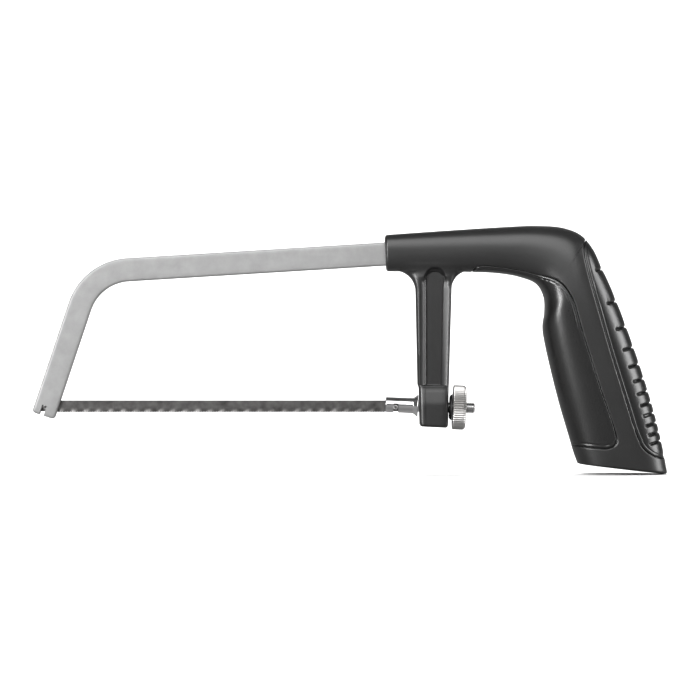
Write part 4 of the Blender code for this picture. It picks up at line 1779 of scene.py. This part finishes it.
    def insert(self, name: str, zone: Zone, over: int, sides: int) -> bpy.types.Object:
        """One insert: a shell over the grip's edge with its outer rim rounded.

        Args:
            name: The piece's name.
            zone: What it covers.
            over: How many steps its outer side has on either side of the edge.
            sides: How many steps its inner side has.

        Returns:
            The object.
        """
        stops = self.stops()
        stops = stops[(stops > zone.top + 0.5) & (stops < zone.foot - 0.1)]
        outers, beds = [], []
        for at in stops:
            half, palm, finger = self.angles(float(at))
            start, border = (0.0, half[palm]) if zone.edge > 0 else (math.pi, half[finger])
            dense = np.linspace(start, border, 241)
            run = self.measured(at, dense)
            marks = spread(0.0, max(run[-1] - self.groove, 0.05), over, 0.0, 0.9)
            angle = np.interp(marks, run, dense)
            mirrored = 2 * start - angle
            both = (mirrored[:0:-1], angle) if zone.edge > 0 else (angle[::-1], mirrored[1:])
            both = np.concatenate(both)
            true = self.warped(float(at), both)
            outers.append(self.grip.points(true, both))
            beds.append(self.grip.points(true, both, self.bed - 0.08))
        outer, bed = np.array(outers), np.array(beds)
        away = zone.distances(outer) - self.groove
        ease = 0.55
        rim = 1 - np.sqrt(np.clip(1 - (1 - np.clip(away / ease, 0, 1)) ** 2, 0, 1))
        share = rim * ease / self.bed
        if zone.edge > 0:
            share = share + self.rib_cut(outer, stops[:, None]) / self.bed
        share = share + self.fine_line(away) / self.bed
        share = np.clip(share, 0.0, 0.85)[..., None]
        top = outer * (1 - share) + bed * share
        picks = np.linspace(0, bed.shape[1] - 1, sides * 2 + 1).round().astype(int)
        rings = np.concatenate((top, bed[:, picks[::-1]]), axis=1)
        return skin(name, rings, 50.0)

    def fine_line(self, away: np.ndarray) -> np.ndarray:
        """A fine second line that follows the insert's border."""
        return 0.22 * np.exp(-(((away - 1.35) / 0.16) ** 2))

    def rib_cut(self, outer: np.ndarray, at: np.ndarray) -> np.ndarray:
        """The depth of the palm insert's cross grooves and of the hollows between its swells.

        Args:
            outer: Rings of places on the insert.
            at: The rings' lengths along the handle, one row each.

        Returns:
            The depth at each place.
        """
        outer_x, outer_z, inner_x, inner_z, _, _ = self.grip.section(at)
        span_x, span_z = outer_x - inner_x, outer_z - inner_z
        span = np.hypot(span_x, span_z)
        along = ((outer[..., 0] - inner_x) * span_x + (outer[..., 2] - inner_z) * span_z) / span
        from_edge = span - along
        down = self.down(outer[..., 0], outer[..., 2])
        groove_depth, groove_width = 0.8, 0.33
        dot_depth, dot_radius = 0.55, 0.6
        swell_depth = 0.36
        nearest = np.min(np.abs(down[..., None] - self.ribs), axis=-1)
        length = 5.2 - 2.0 * np.exp(-np.maximum(down - self.ribs[0], 0.0) / 14.0)
        fade = 1 - smooth_step(from_edge - length, -0.7, 0.0)
        groove = groove_depth * np.exp(-((nearest / groove_width) ** 2)) * fade
        dot = dot_depth * np.exp(-(((nearest**2 + (from_edge - length) ** 2) / dot_radius**2) ** 2))
        first, last = self.ribs[0], self.ribs[-1] + 6.0
        marks = np.concatenate(([first - 15.0], self.ribs, [last]))
        slot = np.clip(np.searchsorted(marks, down) - 1, 0, len(marks) - 2)
        share = np.clip((down - marks[slot]) / (marks[slot + 1] - marks[slot]), 0.0, 1.0)
        swell = swell_depth * (1 - 4 * share * (1 - share)) ** 2
        held = smooth_step(down, first - 14, first - 6) * (1 - smooth_step(down, last - 1, last + 4))
        return np.maximum(groove, dot) + swell * fade * held

    def build(self, shop: Workshop) -> None:
        """Makes the moulding and its inserts.

        Args:
            shop: Where the finishes come from.
        """
        body = skin("grip_moulding", self.ends(self.body_rings()), 42.0)
        combine(body, self.post(), Cut.ADD)
        tidy(body, 42.0, 0.0005)
        shop.deliver(body, HANDLE_BLACK, Body.FIXED, "handle_body")
        palm = self.insert("palm_pad", self.palm, 40, 10)
        shop.deliver(palm, INSERT_BLACK, Body.FIXED, "palm_insert")
        finger = self.insert("finger_pad", self.finger, 34, 10)
        shop.deliver(finger, INSERT_BLACK, Body.FIXED, "finger_insert")


# ---------------------------------------------------------------- the studio


@dataclass
class Studio:
    """The pale sweep, the soft lights and the camera.

    Attributes:
        width: The width of the picture at the saw, in metres.
        lens: The camera's focal length.
        sensor: Its sensor's width.
        centre: The X and Z that the camera looks at.
        floor: The Z of the floor.
    """

    width: float = 0.2992
    lens: float = 150.0
    sensor: float = 36.0
    centre: tuple[float, float] = (-0.00009, -0.00017)
    floor: float = -0.0532

    def sweep(self) -> None:
        """The floor, which turns up into a wall far behind."""
        far, radius, high, wide = 1.6, 0.9, 3.2, 4.0
        steps = 24
        profile = [(-3.0, 0.0), (far - radius, 0.0)]
        for k in range(1, steps + 1):
            angle = math.pi / 2 * k / steps
            profile.append((far - radius + radius * math.sin(angle), radius * (1 - math.cos(angle))))
        profile.append((far, high))
        points = [(x, y, self.floor + z) for y, z in profile for x in (-wide, wide)]
        faces = [(2 * k, 2 * k + 1, 2 * k + 3, 2 * k + 2) for k in range(len(profile) - 1)]
        sweep = new_object("sweep", np.array(points) / MM, faces)
        material = bpy.data.materials.new("pale_paper")
        material.use_nodes = True
        material.node_tree.nodes.clear()
        desk = NodeDesk(material.node_tree)
        seen = desk.add("ShaderNodeLightPath").outputs["Is Camera Ray"]
        pale = desk.add("ShaderNodeBsdfDiffuse", {"Color": (0.88, 0.88, 0.88, 1.0)}).outputs[0]
        dull = desk.add("ShaderNodeBsdfDiffuse", {"Color": (0.2, 0.2, 0.2, 1.0)}).outputs[0]
        paper = desk.add("ShaderNodeMixShader", {0: seen, 1: dull, 2: pale}).outputs[0]
        desk.add("ShaderNodeOutputMaterial", {"Surface": paper})
        sweep.data.materials.append(material)

    def lamp(
        self, name: str, place: tuple, target: tuple, size: tuple, power: float, seen: bool = True
    ) -> None:
        """One soft rectangular light.

        Args:
            name: Its name.
            place: Where it stands, in metres.
            target: Where it points.
            size: Its two sides.
            power: Its power in watts.
            seen: Whether shiny surfaces mirror it.
        """
        light = bpy.data.lights.new(name, "AREA")
        light.shape = "RECTANGLE"
        light.size, light.size_y = size
        light.energy = power
        lamp = bpy.data.objects.new(name, light)
        lamp.location = place
        lamp.rotation_euler = (Vector(target) - Vector(place)).to_track_quat("-Z", "Y").to_euler()
        lamp.visible_glossy = seen
        bpy.context.scene.collection.objects.link(lamp)

    def world(self) -> None:
        """A plain surround, brighter to the eye than it is as a light."""
        world = bpy.data.worlds.new("surround")
        world.use_nodes = True
        world.node_tree.nodes.clear()
        desk = NodeDesk(world.node_tree)
        seen = desk.add("ShaderNodeLightPath").outputs["Is Camera Ray"]
        strength = desk.remap(seen, 0.0, 1.0, (0.12, 1.0))
        ground = desk.add("ShaderNodeBackground", {"Color": (1.0, 1.0, 1.0, 1.0), "Strength": strength})
        desk.add("ShaderNodeOutputWorld", {"Surface": ground.outputs[0]})
        bpy.context.scene.world = world

    def build(self) -> None:
        """Sets up floor, lights, surround and camera."""
        self.sweep()
        self.lamp("key", (-0.1, -0.9, 0.68), (0.0, 0.0, 0.0), (1.3, 0.9), 11.5)
        self.lamp("strip", (-0.8, -0.88, 0.05), (0.08, 0.0, 0.0), (0.18, 1.0), 19.0)
        self.lamp("fill", (1.2, -0.2, 0.15), (0.1, 0.0, 0.0), (0.5, 0.9), 12.0)
        self.lamp("back", (0.0, 0.6, 1.5), (0.0, 1.2, 0.2), (2.4, 0.8), 60.0, False)
        self.world()
        camera = bpy.data.cameras.new("camera")
        camera.lens, camera.sensor_width = self.lens, self.sensor
        camera.clip_start, camera.clip_end = 0.05, 20.0
        view = bpy.data.objects.new("camera", camera)
        distance = self.width * self.lens / self.sensor
        view.location = (self.centre[0], -distance, self.centre[1])
        view.rotation_euler = (math.pi / 2, 0.0, 0.0)
        bpy.context.scene.collection.objects.link(view)
        bpy.context.scene.camera = view
        bpy.context.scene.view_settings.view_transform = "Standard"
        log.info("studio: floor at %.4f m, camera at %.3f m", self.floor, distance)


def main() -> None:
    """Builds every sub-assembly in order."""
    logging.basicConfig(level=logging.INFO, format="%(message)s")
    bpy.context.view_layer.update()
    shop = Workshop()
    blade = SawBlade()
    BowFrame().build(shop, (blade.front_x, blade.pin_z), blade.pin_radius)
    blade.build(shop)
    TensionScrew().build(shop)
    Handle().build(shop)
    Studio().build()


if __name__ == "__main__":
    main()
